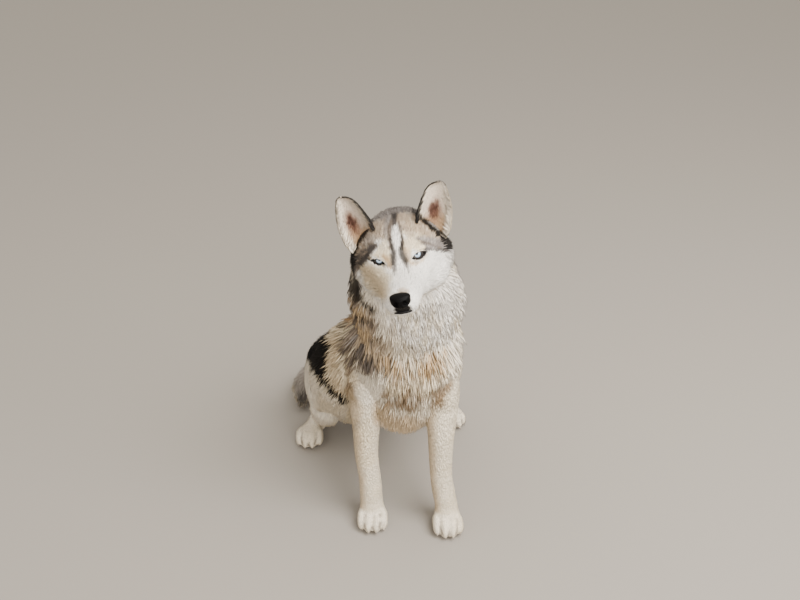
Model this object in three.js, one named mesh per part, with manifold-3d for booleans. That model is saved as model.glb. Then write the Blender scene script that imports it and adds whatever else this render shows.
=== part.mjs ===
// A Siberian husky, life size, sitting on its haunches with its head tilted a little.
// Millimetres, +Z up. The dog faces -Y, its left side is +X, and the floor is Z = 0.
import * as THREE from "three";
import { mergeVertices } from "three/addons/utils/BufferGeometryUtils.js";
import Module from "manifold-3d";

const wasm = await Module();
wasm.setup();

// Driving sizes.
const GAP = 0.4; // between pieces that touch
const FLOOR_SINK = 200; // what is cut away below the floor
const SHOULDER_Z = 262; // above it the upper arm belongs to the torso
const HEAD = { x: -2, y: -20, z: 637, tilt: 10.5, turn: 1.5 }; // midpoint of the eyes, degrees
const EYE = { apart: 66, radius: 12, back: 5, lid: 2.6, long: 25, high: 12, slant: 12 };
const EAR = { base: [58, 56, 4], middle: [71, 57, 48], tip: [89, 60, 106], wide: 36, deep: 26, floor: 5 };
const NOSE = { y: -98, z: -31, wide: 35, high: 27, deep: 26, nostril: 4.2 };
const MOUTH = { z: -55, slot: 1.6, deep: 6, lip: 4, front: 0.024, back: 0.3, rise: 9 };
const MUZZLE = { wide: 64, high: 58, long: 97 };
const SKULL = { wide: 172, high: 140, back: 132, pear: 0.1 };
const NECK_WIDE = 212;
const CHEST_WIDE = 220;
const PAW = { wide: 59, high: 38, long: 88 };
const TOES = { each: 5, deep: 0.2 }; // toes in a half turn, and how far the clefts go in
const CLAW = { long: 11, thick: 4.6 };
const TAIL_THICK = 86;

// The hindquarters are turned: side and back of the pelvis, and its middle on the floor.
const PELVIS = { x: -50, y: 395, turn: 16 };
const SIDES = { left: 1, right: -1 };
const FORE_TOE = { left: [99, -12], right: [-56, 4] };
const HIND_TOE = { left: [132, 361], right: [-207, 286] };

// Along a lock: share of its length, rise (below 0 is sunk), breadth and thickness.
const LOCK_SHAPE = [
  [-0.12, -1, 0.7, 0.9],
  [0.3, 0.5, 1, 1],
  [0.7, 0.9, 0.78, 0.7],
  [1, 1, 0.2, 0.3],
];

// Locks of the ruff and bib, and of the tail.
const RUFF = {
  rows: [0.2, 0.4, 0.6, 0.82],
  around: 10,
  steps: 5,
  long: 0.33,
  wide: 31,
  thick: 6,
  out: 22,
  sink: 9,
  sway: 0.2,
  seed: 11,
};
const BRUSH = {
  rows: [0.2, 0.41, 0.62, 0.8],
  around: 5,
  steps: 4,
  long: 0.26,
  wide: 25,
  thick: 5,
  out: 11,
  sink: 7,
  sway: 0.1,
  seed: 38,
};

// Shapes.

const rad = THREE.MathUtils.degToRad;

// Value of one size at t along the stations, by a smooth curve through them.
function along(values, t) {
  const points = values.map((value, i) => new THREE.Vector2(i, value));
  return new THREE.SplineCurve(points).getPoint(t).y;
}

// Round end of a body: 0 at its pole and 1 past the share "end" of its length.
function round(t, end) {
  const s = 1 - Math.min(1, t / end);
  return Math.sqrt(1 - s * s);
}

// A body along a curve through stations [x, y, z, wide, deep], which are half sizes.
// "side" is the way of the wide size, "turn" turns it about Z on the way, "pear" widens one face.
function body(stations, options = {}) {
  const set = { side: [1, 0, 0], turn: [0, 0], ends: [0.2, 0.2], push: 0, pear: 0, ...options };
  const curve = new THREE.CatmullRomCurve3(stations.map((s) => new THREE.Vector3(s[0], s[1], s[2])));
  const wides = stations.map((s) => s[3]);
  const deeps = stations.map((s) => s[4]);
  const up = new THREE.Vector3(0, 0, 1);

  // Middle, ways and half sizes at t, which may run a little past the end.
  function ring(t) {
    const inside = THREE.MathUtils.clamp(t, 0, 1);
    const tangent = curve.getTangent(inside);
    const middle = curve.getPoint(inside).addScaledVector(tangent, (t - inside) * curve.getLength());
    const angle = rad(THREE.MathUtils.lerp(set.turn[0], set.turn[1], inside));
    const side = new THREE.Vector3(...set.side).applyAxisAngle(up, angle);
    side.addScaledVector(tangent, -side.dot(tangent)).normalize();
    const face = new THREE.Vector3().crossVectors(tangent, side);
    return { middle, tangent, side, face, wide: along(wides, inside), deep: along(deeps, inside) };
  }

  return { set, ring };
}

// The closed solid of a body: the rows of a sphere laid along it, "grow" larger all round.
function loft(stations, options = {}) {
  const { around = 20, rows = 12, grow = 0 } = options;
  const { set, ring } = body(stations, options);
  const geometry = new THREE.SphereGeometry(1, around, rows);
  const place = geometry.attributes.position;
  for (let i = 0; i < place.count; i++) {
    const height = THREE.MathUtils.clamp(place.getY(i), -1, 1);
    const edge = Math.hypot(place.getX(i), place.getZ(i));
    const t = 0.5 * (Math.acos(height) / Math.PI) + 0.25 * (1 - height);
    const { middle, tangent, side, face, wide, deep } = ring(t);
    const cap = round(t, set.ends[0]) * round(1 - t, set.ends[1]);
    middle.addScaledVector(tangent, -grow * height);
    middle.addScaledVector(face, set.push * deep);
    if (edge > 1e-6) {
      const [cosine, sine] = [place.getX(i) / edge, place.getZ(i) / edge];
      middle.addScaledVector(side, (wide * cap * (1 + set.pear * sine) + grow) * cosine);
      middle.addScaledVector(face, (deep * cap + grow) * sine);
    }
    place.setXYZ(i, middle.x, middle.y, middle.z);
  }
  return solid(geometry);
}

// Even numbers from 0 to 1 that are the same on every run.
function seeded(seed) {
  let state = seed;
  return () => {
    state = (state * 16807) % 2147483647;
    return state / 2147483647;
  };
}

// One flat lock on a body: rooted under its surface at t and angle, it bends out and lies along it.
function lock(shape, t, angle, { long, wide, thick, out, sink, sway, steps }, grow = 0) {
  const length = (share) => t + share * long;
  const stations = [];
  for (const [share, rise, breadth, depth] of LOCK_SHAPE) {
    const { middle, side, face, wide: w, deep: d } = shape.ring(length(share));
    const a = angle + share * sway;
    const lift = rise < 0 ? rise * sink : rise * out;
    middle.addScaledVector(side, (w + lift) * Math.cos(a));
    middle.addScaledVector(face, (d + lift) * Math.sin(a));
    stations.push([middle.x, middle.y, middle.z, breadth * wide, depth * thick]);
  }
  const { side, face } = shape.ring(length(0.4));
  const across = side.multiplyScalar(-Math.sin(angle)).addScaledVector(face, Math.cos(angle));
  return loft(stations, { around: 4, rows: steps, side: across.toArray(), ends: [0.1, 0.12], grow });
}

// Staggered rows of locks over a body, as a list of solids; "keep" leaves out bare angles.
function locks(shape, sizes, grow = 0) {
  const next = seeded(sizes.seed);
  const vary = (value, share) => value * (1 + share * (2 * next() - 1));
  const found = [];
  sizes.rows.forEach((t, row) => {
    for (let i = 0; i < sizes.around; i++) {
      const angle = ((i + (row % 2) / 2) / sizes.around) * 2 * Math.PI + vary(0.1, 1) - 0.1;
      const one = {
        long: vary(sizes.long, 0.16),
        wide: vary(sizes.wide, 0.12),
        thick: sizes.thick,
        out: vary(sizes.out, 0.2),
        sink: sizes.sink,
        steps: sizes.steps,
        sway: (next() - 0.5) * sizes.sway,
      };
      const start = t + 0.02 * (next() - 0.5);
      if (!sizes.keep || sizes.keep(angle, start)) found.push(lock(shape, start, angle, one, grow));
    }
  });
  return found;
}

// A ball with three half sizes, at a place.
function ball(at, sizes, grow = 0, around = 16, rows = 10) {
  const geometry = new THREE.SphereGeometry(1, around, rows);
  geometry.rotateX(Math.PI / 2);
  geometry.scale(sizes[0] + grow, sizes[1] + grow, sizes[2] + grow);
  geometry.translate(...at);
  return solid(geometry);
}

// A box between two corners.
function block(low, high) {
  const size = high.map((value, i) => value - low[i]);
  const geometry = new THREE.BoxGeometry(...size);
  geometry.translate(...low.map((value, i) => value + size[i] / 2));
  return solid(geometry);
}

function solid(geometry) {
  geometry.deleteAttribute("normal");
  geometry.deleteAttribute("uv");
  const merged = mergeVertices(geometry, 1e-4);
  const vertProperties = new Float32Array(merged.attributes.position.array);
  const triVerts = new Uint32Array(merged.index.array);
  return new wasm.Manifold(new wasm.Mesh({ numProp: 3, vertProperties, triVerts }));
}

function join(solids) {
  return solids.reduce((whole, piece) => whole.add(piece));
}

function cut(whole, ...others) {
  return others.reduce((rest, other) => rest.subtract(other), whole);
}

// The largest closed surface of a solid.
function largest(whole) {
  return whole.decompose().sort((a, b) => b.volume() - a.volume())[0];
}

function geometryOf(whole) {
  const mesh = whole.getMesh();
  const geometry = new THREE.BufferGeometry();
  geometry.setAttribute("position", new THREE.BufferAttribute(new Float32Array(mesh.vertProperties), 3));
  geometry.setIndex(new THREE.BufferAttribute(new Uint32Array(mesh.triVerts), 1));
  geometry.computeVertexNormals();
  return geometry;
}

const floor = block([-900, -900, -FLOOR_SINK], [900, 1200, 0]);
const upper = (z) => block([-900, -900, z], [900, 1200, 900]);

// The head, in its own frame: the eyes' midpoint is its origin, and it faces -Y.

const headPlace = new THREE.Matrix4().compose(
  new THREE.Vector3(HEAD.x, HEAD.y, HEAD.z),
  new THREE.Quaternion().setFromEuler(new THREE.Euler(0, -rad(HEAD.tilt), -rad(HEAD.turn), "ZYX")),
  new THREE.Vector3(1, 1, 1),
);

function placed(whole) {
  return solid(geometryOf(whole).applyMatrix4(headPlace));
}

// Muzzle, stop, cheeks and crown in one body from the nose to the back of the head.
function skullStations() {
  const w = SKULL.wide / 2;
  const h = SKULL.high / 2;
  const m = MUZZLE.wide / 2;
  const n = MUZZLE.high / 2;
  return [
    [0, -MUZZLE.long, -41, 0.76 * m, 0.74 * n],
    [0, -78, -40, 0.94 * m, 0.9 * n],
    [0, -48, -37, 1.04 * m, n],
    [0, -22, -33, 1.26 * m, 1.12 * n],
    [0, -3, -24, 0.62 * w, 0.57 * h],
    [0, 17, -15, 0.83 * w, 0.77 * h],
    [0, 43, -10, 0.98 * w, 0.91 * h],
    [0, 72, -9, w, 0.96 * h],
    [0, 104, -11, 0.9 * w, 0.92 * h],
    [0, SKULL.back, -14, 0.62 * w, 0.68 * h],
  ];
}

const skullForm = { pear: SKULL.pear, ends: [0.09, 0.16] };

function skull(grow = 0) {
  return loft(skullStations(), { around: 22, rows: 22, grow, ...skullForm });
}

function jaw(grow = 0) {
  const stations = [
    [0, 30, -62, 50, 34],
    [0, -22, -59, 34, 20],
    [0, -58, -57, 26, 16],
    [0, -88, -57, 18, 12.5],
  ];
  return loft(stations, { around: 12, rows: 7, grow, ends: [0.2, 0.16] });
}

// The full cheek, from under the eye back and down to the throat.
function cheek(side, grow = 0) {
  const stations = [
    [side * 14, -36, -42, 20, 20],
    [side * 26, 0, -44, 30, 32],
    [side * 40, 44, -46, 43, 45],
    [side * 40, 92, -42, 40, 48],
  ];
  return loft(stations, { around: 12, rows: 7, grow, ends: [0.25, 0.3] });
}

function brow(side) {
  const stations = [
    [side * 10, -4, 5, 9, 8],
    [side * 30, -1, 12, 12, 9],
    [side * 54, 14, 10, 13, 9],
  ];
  return loft(stations, { around: 8, rows: 6, side: [0, 1, 0], ends: [0.3, 0.3] });
}

const eyeAt = (side) => [(side * EYE.apart) / 2, EYE.back, 0];

// Lids: a shell over the eye, with an almond opening that rises to its outer corner.
function lids(side) {
  const r = EYE.radius + EYE.lid;
  return ball(eyeAt(side), [r * 1.12, r, r], 0, 14, 8);
}

function lidOpening(side) {
  const half = EYE.long / 2;
  const low = -0.42 * EYE.high;
  const outline = new THREE.Shape();
  outline.moveTo(-half, 0);
  outline.quadraticCurveTo(0, 2 * EYE.high + low, half, 0);
  outline.quadraticCurveTo(0, 2 * low, -half, 0);
  const geometry = new THREE.ExtrudeGeometry(outline, { depth: 40, bevelEnabled: false, curveSegments: 5 });
  geometry.translate(0, 0, -8);
  geometry.rotateX(Math.PI / 2);
  geometry.rotateY(-side * rad(EYE.slant));
  geometry.rotateZ(side * rad(12));
  const [x, y, z] = eyeAt(side);
  geometry.translate(x + side * 1.5, y - 14, z);
  return solid(geometry);
}

// The line of the mouth lies on the muzzle from corner to corner and rises to its ends.
function mouthLine() {
  const { ring, set } = body(skullStations(), skullForm);
  const steps = 12;
  const points = [];
  for (let i = -steps; i <= steps; i++) {
    const share = Math.abs(i) / steps;
    const t = THREE.MathUtils.lerp(MOUTH.front, MOUTH.back, share ** 2);
    const { middle, wide, deep } = ring(t);
    const cap = round(t, set.ends[0]);
    const z = MOUTH.z + MOUTH.rise * share ** 3;
    const sine = Math.min(1, (middle.z - z) / (deep * cap));
    const x = wide * cap * (1 + set.pear * sine) * Math.sqrt(1 - sine * sine);
    points.push(new THREE.Vector3(Math.sign(i) * x, middle.y, z));
  }
  return new THREE.CatmullRomCurve3(points);
}

function alongMouth(high, deep, corners) {
  const section = new THREE.Shape();
  section.absellipse(0, 0, high / 2, deep, 0, 2 * Math.PI, false, 0);
  const options = { steps: 14, extrudePath: mouthLine(), bevelEnabled: false, curveSegments: corners };
  return solid(new THREE.ExtrudeGeometry(section, options));
}

const lips = () => alongMouth(2 * MOUTH.lip + MOUTH.slot, 0.5 * MOUTH.lip, 2);
const mouthSlot = () => alongMouth(MOUTH.slot, MOUTH.deep, 2);

function nosePad(grow = 0) {
  const sizes = [NOSE.wide / 2, NOSE.deep / 2, NOSE.high / 2];
  return ball([0, NOSE.y, NOSE.z], sizes, grow, 14, 7);
}

function nostril(side) {
  const r = NOSE.nostril;
  const front = NOSE.y - NOSE.deep / 2;
  const stations = [
    [side * 8, front - 4, NOSE.z - 1, r, r],
    [side * 7.5, front + 3, NOSE.z - 1, r, r],
    [side * 7, front + 9, NOSE.z, 0.7 * r, 0.7 * r],
  ];
  const comma = [
    [side * 9, front - 1, NOSE.z - 2, 3, 1.5],
    [side * 15, front + 8, NOSE.z - 4, 4, 1.3],
  ];
  return join([loft(stations, { around: 6, rows: 4 }), loft(comma, { around: 5, rows: 3, side: [0, 1, 0] })]);
}

// An ear stands on the side of the crown: a shell whose cup opens forwards.
function earStations(side, share) {
  const half = EAR.wide;
  const rows = [EAR.base, EAR.middle, EAR.tip];
  const curve = new THREE.CatmullRomCurve3(rows.map((p) => new THREE.Vector3(side * p[0], p[1], p[2])));
  const widths = [1, 1.06, 1, 0.82, 0.55, 0.2];
  return widths.map((width, i) => {
    const t = i / (widths.length - 1);
    const p = curve.getPoint(t);
    const thick = EAR.deep * Math.max(0.18, 1 - 0.82 * t);
    return [p.x, p.y, p.z, half * width * share, thick * share];
  });
}

const earSide = (side) => [0.94, side * 0.3, 0];

function earShell(side, grow = 0) {
  return loft(earStations(side, 1), { around: 14, rows: 9, side: earSide(side), grow, ends: [0.1, 0.1] });
}

function earCup(side) {
  const stations = earStations(side, 0.84).slice(1);
  stations[stations.length - 1][2] -= 7;
  const cup = loft(stations, { around: 12, rows: 7, side: earSide(side), push: -0.62, ends: [0.3, 0.12] });
  return cut(cup, skull(EAR.floor));
}

// The trunk, neck and limbs.

function neckStations(inset) {
  const w = NECK_WIDE / 2;
  const stations = [
    [-8, 66, 664, 0.72 * w, 68],
    [-2, 62, 606, 0.86 * w, 84],
    [7, 76, 545, 0.97 * w, 93],
    [13, 93, 485, w, 101],
    [14, 106, 425, 0.97 * w, 98],
  ];
  return stations.map(([x, y, z, wide, deep]) => [x, y, z, wide - inset, deep - inset]);
}

function neck(grow = 0) {
  return loft(neckStations(RUFF.out), { around: 20, rows: 9, grow, ends: [0.15, 0.2] });
}

function trunkStations() {
  const w = CHEST_WIDE / 2;
  return [
    [12, 106, 482, 0.8 * w, 74],
    [8, 122, 410, 0.98 * w, 88],
    [-6, 152, 350, 1.2 * w, 102],
    [-28, 202, 290, 1.36 * w, 108],
    [-46, 256, 228, 1.36 * w, 102],
    [-62, 315, 168, 1.28 * w, 94],
    [-78, 370, 112, 1.14 * w, 84],
    [-88, 406, 76, w, 74],
  ];
}

const trunkTurn = { turn: [0, PELVIS.turn] };

function trunk(grow = 0) {
  return loft(trunkStations(), { around: 24, rows: 13, grow, ...trunkTurn, ends: [0.14, 0.16] });
}

// The chest hangs before the trunk and between the upper arms.
function chest(grow = 0) {
  const stations = [
    [12, 96, 440, 78, 56],
    [12, 86, 375, 92, 62],
    [10, 88, 310, 92, 62],
    [8, 104, 250, 68, 54],
    [6, 122, 216, 46, 40],
  ];
  return loft(stations, { around: 16, rows: 8, grow, ends: [0.25, 0.25] });
}

function foreleg(side, grow = 0) {
  const left = side > 0;
  const top = left ? 78 : -62;
  const knee = left ? 81 : -67;
  const wrist = left ? 84 : -61;
  const foot = left ? 94 : -58;
  const y = left ? -12 : 0;
  const stations = [
    [top - side * 28, 134, 372, 30, 46],
    [top - side * 3, 104 + y / 2, 310, 43, 60],
    [top + side * 3, 88 + y / 2, 260, 36, 48],
    [knee, 73 + y, 210, 26, 33],
    [knee, 65 + y, 160, 23, 27],
    [wrist, 61 + y, 105, 21.5, 25],
    [foot, 57 + y, 50, 24, 27],
    [foot, 56 + y, 22, 25, 29],
  ];
  return loft(stations, { around: 14, rows: 12, grow, ends: [0.16, 0.1] });
}

// A point on the floor from its place beside and behind the middle of the pelvis.
function fromPelvis(beside, behind, z) {
  const a = rad(PELVIS.turn);
  const x = PELVIS.x + beside * Math.cos(a) - behind * Math.sin(a);
  const y = PELVIS.y + beside * Math.sin(a) + behind * Math.cos(a);
  return [x, y, z];
}

function thigh(side, grow = 0) {
  const stations = [
    [...fromPelvis(side * 52, 26, 176), 74, 82],
    [...fromPelvis(side * 98, -14, 176), 74, 104],
    [...fromPelvis(side * 122, -66, 166), 60, 96],
    [...fromPelvis(side * 130, -116, 146), 42, 62],
  ];
  return loft(stations, { around: 18, rows: 9, grow, turn: [PELVIS.turn, PELVIS.turn], ends: [0.3, 0.34] });
}

function shank(side, grow = 0) {
  const toe = HIND_TOE[side > 0 ? "left" : "right"];
  const stations = [
    [...fromPelvis(side * 134, -96, 128), 36, 44],
    [...fromPelvis(side * 134, -38, 96), 36, 44],
    [...fromPelvis(side * 128, 38, 62), 27, 32],
    [...fromPelvis(side * 126, 72, 46), 22, 30],
  ];
  const foot = [
    [...fromPelvis(side * 126, 76, 40), 22, 30],
    [...fromPelvis(side * 136, 26, 26), 23, 24],
    [toe[0], toe[1] + 60, 22, 27, 21],
  ];
  const options = { around: 10, rows: 6, grow, turn: [PELVIS.turn, PELVIS.turn], ends: [0.3, 0.3] };
  return join([loft(stations, options), loft(foot, options)]);
}

// A paw with four toes; "turn" is the way that it points, in degrees from -Y.
function toePlaces() {
  return [-0.35, -0.125, 0.125, 0.35].map((share, i) => ({ x: share * PAW.wide, back: i % 3 ? 0 : 11 }));
}

function pawMatrix(toe, turn) {
  const at = new THREE.Matrix4().makeTranslation(toe[0], toe[1], 0);
  return at.multiply(new THREE.Matrix4().makeRotationZ(rad(turn)));
}

function paw(toe, turn, grow = 0) {
  const { wide, high, long } = PAW;
  const geometry = new THREE.SphereGeometry(1, 32, 6);
  geometry.rotateX(Math.PI / 2);
  const place = geometry.attributes.position;
  for (let i = 0; i < place.count; i++) {
    const z = place.getZ(i);
    const edge = Math.hypot(place.getX(i), place.getY(i));
    const even = Math.atan2(place.getX(i), -place.getY(i));
    const angle = even - 0.55 * Math.sin(even);
    const front = THREE.MathUtils.smoothstep(Math.cos(angle), 0.15, 0.5);
    const toes = 1 + TOES.deep * front * (Math.sqrt(Math.abs(Math.sin(TOES.each * angle))) - 0.8);
    const square = 1 + 0.12 * front * Math.sin(2 * angle) ** 2;
    const reach = edge ** 0.72 * toes * square;
    place.setXYZ(
      i,
      Math.sin(angle) * reach * (wide / 2 + grow),
      long / 2 - Math.cos(angle) * reach * (long / 2 + grow),
      high / 2 - 2 + z * (high / 2 + 2 + grow),
    );
  }
  geometry.applyMatrix4(pawMatrix(toe, turn));
  return solid(geometry);
}

function claw(toe, turn, place) {
  const { x, back } = place;
  const half = CLAW.thick / 2;
  const stations = [
    [x, 12 + back, 17, half, half + 1],
    [x, 1 + back, 13, half, half + 0.6],
    [x, 4 - CLAW.long + back, 5, 0.9, 1.1],
  ];
  const horn = loft(stations, { around: 5, rows: 4, ends: [0.1, 0.15] });
  return solid(geometryOf(horn).applyMatrix4(pawMatrix(toe, turn)));
}

function tailStations(inset) {
  const r = TAIL_THICK / 2;
  const stations = [
    [-88, 396, 104, 0.66 * r],
    [-98, 460, 84, 0.86 * r],
    [-116, 506, 56, 0.98 * r],
    [-156, 542, r, r],
    [-202, 536, 0.94 * r, 0.94 * r],
    [-230, 494, 0.8 * r, 0.82 * r],
    [-236, 440, 0.46 * r, 0.5 * r],
  ];
  return stations.map(([x, y, z, wide]) => [x, y, z, wide - inset, wide - inset]);
}

function tail(grow = 0) {
  return loft(tailStations(BRUSH.out), { around: 10, rows: 12, grow, ends: [0.1, 0.2] });
}

// Materials: colour, roughness.
const white = new THREE.MeshStandardMaterial({ color: "#e6ddcd", roughness: 0.9, metalness: 0 });
const grey = new THREE.MeshStandardMaterial({ color: "#8d8478", roughness: 0.9, metalness: 0 });
const tan = new THREE.MeshStandardMaterial({ color: "#c9b79c", roughness: 0.9, metalness: 0 });
const black = new THREE.MeshStandardMaterial({ color: "#17161a", roughness: 0.35, metalness: 0 });
const blue = new THREE.MeshStandardMaterial({ color: "#9cc3e0", roughness: 0.05, metalness: 0 });
const horn = new THREE.MeshStandardMaterial({ color: "#5b5048", roughness: 0.5, metalness: 0 });

const dog = new THREE.Group();

function add(name, whole, material) {
  const mesh = new THREE.Mesh(geometryOf(largest(whole)), material);
  mesh.name = name;
  dog.add(mesh);
}

// The head and what it carries.
const sides = Object.entries(SIDES);
const face = sides.flatMap(([, s]) => [cheek(s), brow(s), lids(s)]);
const bare = join([skull(), jaw(), lips(), ...face]);
const eyeHoles = join(sides.map(([, s]) => ball(eyeAt(s), [1, 1, 1].map((k) => k * EYE.radius), GAP, 14, 8)));
const openings = join(sides.map(([, s]) => lidOpening(s)));
const headWhole = cut(bare, eyeHoles, openings, mouthSlot(), nosePad(GAP));
const headSpace = join([skull(GAP), jaw(GAP), ...sides.map(([, s]) => cheek(s, GAP))]);
add("head", placed(headWhole), white);
add("nose", placed(cut(nosePad(), ...sides.map(([, s]) => nostril(s)))), black);
for (const [name, s] of sides) {
  add(`ear_${name}`, placed(cut(earShell(s), earCup(s), headSpace)), grey);
  const eyeball = ball(eyeAt(s), [1, 1, 1].map((k) => k * EYE.radius), 0, 14, 8);
  add(`eye_${name}`, placed(eyeball), blue);
}

// The neck and trunk. The ruff's locks hang over the chest as its bib.
const headClear = placed(join([headSpace, ...sides.map(([, s]) => earShell(s, GAP))]));
const bodyClear = join([neck(GAP), trunk(GAP), chest(GAP)]);
const shoulders = join(sides.map(([, s]) => foreleg(s, GAP)));
const upperArms = join(sides.map(([, s]) => foreleg(s))).intersect(upper(SHOULDER_Z));
const ruffOn = body(neckStations(RUFF.out));
const torso = cut(join([trunk(), chest(), upperArms]), neck(GAP), headClear, floor);
const ruff = cut(join(locks(ruffOn, RUFF)), trunk(GAP), chest(GAP), shoulders, torso);
add("neck", cut(neck().add(ruff), headClear), tan);
add("torso", torso, grey);

// The legs, paws and claws.
const limbs = [];
for (const [name, s] of sides) {
  const foreTurn = s > 0 ? 4 : 0;
  const hindTurn = s > 0 ? 20 : 0;
  const fore = { part: "foreleg", foot: "forepaw", toe: FORE_TOE[name], turn: foreTurn };
  const hind = { part: "hock", foot: "hindpaw", toe: HIND_TOE[name], turn: hindTurn };
  const legs = [
    { ...fore, whole: foreleg(s), clear: foreleg(s, GAP), hip: upper(SHOULDER_Z - GAP) },
    { ...hind, whole: shank(s), clear: shank(s, GAP), hip: thigh(s, GAP) },
  ];
  add(`thigh_${name}`, cut(thigh(s), bodyClear, floor), white);
  for (const leg of legs) {
    const top = paw(leg.toe, leg.turn, GAP);
    add(`${leg.part}_${name}`, cut(leg.whole, bodyClear, leg.hip, top, floor), white);
    const foot = paw(leg.toe, leg.turn);
    add(`${leg.foot}_${name}`, cut(foot, bodyClear, leg.hip, floor), white);
    toePlaces().forEach((place, i) => {
      add(`claw_${leg.foot}_${name}_${i + 1}`, cut(claw(leg.toe, leg.turn, place), top, floor), horn);
    });
    limbs.push(leg.clear, top);
  }
  limbs.push(thigh(s, GAP));
}

// The tail lies in two lengths, parted across its bend; each keeps its own locks.
const tailOn = body(tailStations(BRUSH.out));
const bend = 0.56;
const { middle: bendAt } = tailOn.ring(bend);
const past = (shift) => block([-900, -900, -FLOOR_SINK], [bendAt.x + shift, 1200, 900]);
const rootLocks = { ...BRUSH, keep: (angle, t) => t < bend - 0.06 };
const tipLocks = { ...BRUSH, keep: (angle, t) => t > bend + 0.02 };
const rootHair = cut(join(locks(tailOn, rootLocks)), tail(GAP).intersect(past(0.7 * GAP)));
const tailRoot = cut(tail(), past(GAP)).add(rootHair);
const tipHair = cut(join(locks(tailOn, tipLocks)), cut(tail(GAP), past(0.3 * GAP)));
const tailTip = tail().intersect(past(0)).add(tipHair);
const rootClear = join(locks(tailOn, rootLocks, GAP));
add("tail_root", cut(tailRoot, bodyClear, ...limbs, floor), grey);
add("tail_tip", cut(tailTip, rootClear, tailRoot, bodyClear, ...limbs, floor), grey);

// The origin is under the middle of the whole, on the floor.
const bounds = new THREE.Box3().setFromObject(dog);
dog.position.set(-(bounds.min.x + bounds.max.x) / 2, -(bounds.min.y + bounds.max.y) / 2, -bounds.min.z);
dog.updateMatrixWorld(true);

export default dog;
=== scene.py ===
import math

import bmesh
import bpy
import numpy as np
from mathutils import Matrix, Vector, noise as mathNoise
from mathutils.bvhtree import BVHTree


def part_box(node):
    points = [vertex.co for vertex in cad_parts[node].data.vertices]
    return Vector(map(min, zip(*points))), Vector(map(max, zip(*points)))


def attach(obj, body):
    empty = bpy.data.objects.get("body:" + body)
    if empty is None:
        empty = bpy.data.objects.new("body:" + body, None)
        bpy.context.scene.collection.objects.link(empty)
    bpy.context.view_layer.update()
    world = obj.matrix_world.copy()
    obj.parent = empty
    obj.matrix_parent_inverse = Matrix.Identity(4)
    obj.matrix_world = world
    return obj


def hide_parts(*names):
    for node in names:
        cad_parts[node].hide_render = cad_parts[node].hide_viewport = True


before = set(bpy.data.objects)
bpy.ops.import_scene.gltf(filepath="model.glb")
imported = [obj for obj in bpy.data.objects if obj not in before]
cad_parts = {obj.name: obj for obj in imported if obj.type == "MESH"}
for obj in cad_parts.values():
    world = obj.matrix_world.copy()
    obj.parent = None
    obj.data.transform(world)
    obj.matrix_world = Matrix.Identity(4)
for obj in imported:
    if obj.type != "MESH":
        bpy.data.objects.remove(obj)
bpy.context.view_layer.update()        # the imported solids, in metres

mm = 0.001
coarser = {"voxel": 1, "share": 1, "wide": 1}

# Colours are written as sRGB hex and turned linear here.


def linear(hexColour):
    shares = [int(hexColour[i:i + 2], 16) / 255 for i in (1, 3, 5)]
    return np.array([s / 12.92 if s <= 0.04045 else ((s + 0.055) / 1.055) ** 2.4 for s in shares])


def addNode(tree, kind, settings=None, links=None):
    # Settings are the node's own or the values of its sockets; links are sockets and sources.
    node = tree.nodes.new(kind)
    for name, value in (settings or {}).items():
        if isinstance(name, str) and hasattr(node, name):
            setattr(node, name, value)
        else:
            node.inputs[name].default_value = value
    for socket, source in (links or {}).items():
        tree.links.new(source, node.inputs[socket])
    return node


# The dog's own sizes are in millimetres, from a point on the floor that the eyes give.

head = {"eyesAt": (-1.9, -15.0, 637.0), "origin": (-2.0, -20.0, 637.0), "tilt": 10.5, "turn": 1.5}


def middleOf(node):
    low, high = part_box(node)
    return np.array((low + high) / 2)


eyesMiddle = (middleOf("eye_left") + middleOf("eye_right")) / 2
dogPlace = eyesMiddle - np.array(head["eyesAt"]) * mm


def turnedAbout(axis, degrees):
    a = math.radians(degrees)
    c, s = math.cos(a), math.sin(a)
    if axis == "z":
        return np.array([[c, -s, 0], [s, c, 0], [0, 0, 1]])
    return np.array([[c, 0, s], [0, 1, 0], [-s, 0, c]])


headTurn = turnedAbout("z", -head["turn"]) @ turnedAbout("y", -head["tilt"])


def fromHead(points):
    return np.asarray(points) @ headTurn.T + np.array(head["origin"])


def toHead(points):
    return (np.asarray(points) - np.array(head["origin"])) @ headTurn


def toScene(points):
    return np.asarray(points) * mm + dogPlace


# Camera: the photo's height and tilt, set out from the dog's eyes.

cameraView = {"fromEyes": (1.9, -1535, 746), "down": 28.4, "lens": 45, "sensor": 36}


def makeCamera():
    data = bpy.data.cameras.new("camera")
    data.lens = cameraView["lens"]
    data.sensor_width = cameraView["sensor"]
    camera = bpy.data.objects.new("camera", data)
    camera.location = Vector(eyesMiddle + np.array(cameraView["fromEyes"]) * mm)
    camera.rotation_euler = (math.radians(90 - cameraView["down"]), 0, 0)
    bpy.context.scene.collection.objects.link(camera)
    bpy.context.scene.camera = camera


makeCamera()

# Forms of flesh: stations along each form are x, y, z, half width, half depth, in mm.
# "inset" is the coat's depth at its start and end, "coat" the hair's length there.

pelvis = {"x": -50, "y": 395, "turn": 16}


def fromPelvis(beside, behind, z):
    a = math.radians(pelvis["turn"])
    x = pelvis["x"] + beside * math.cos(a) - behind * math.sin(a)
    y = pelvis["y"] + beside * math.sin(a) + behind * math.cos(a)
    return [x, y, z]


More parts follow.
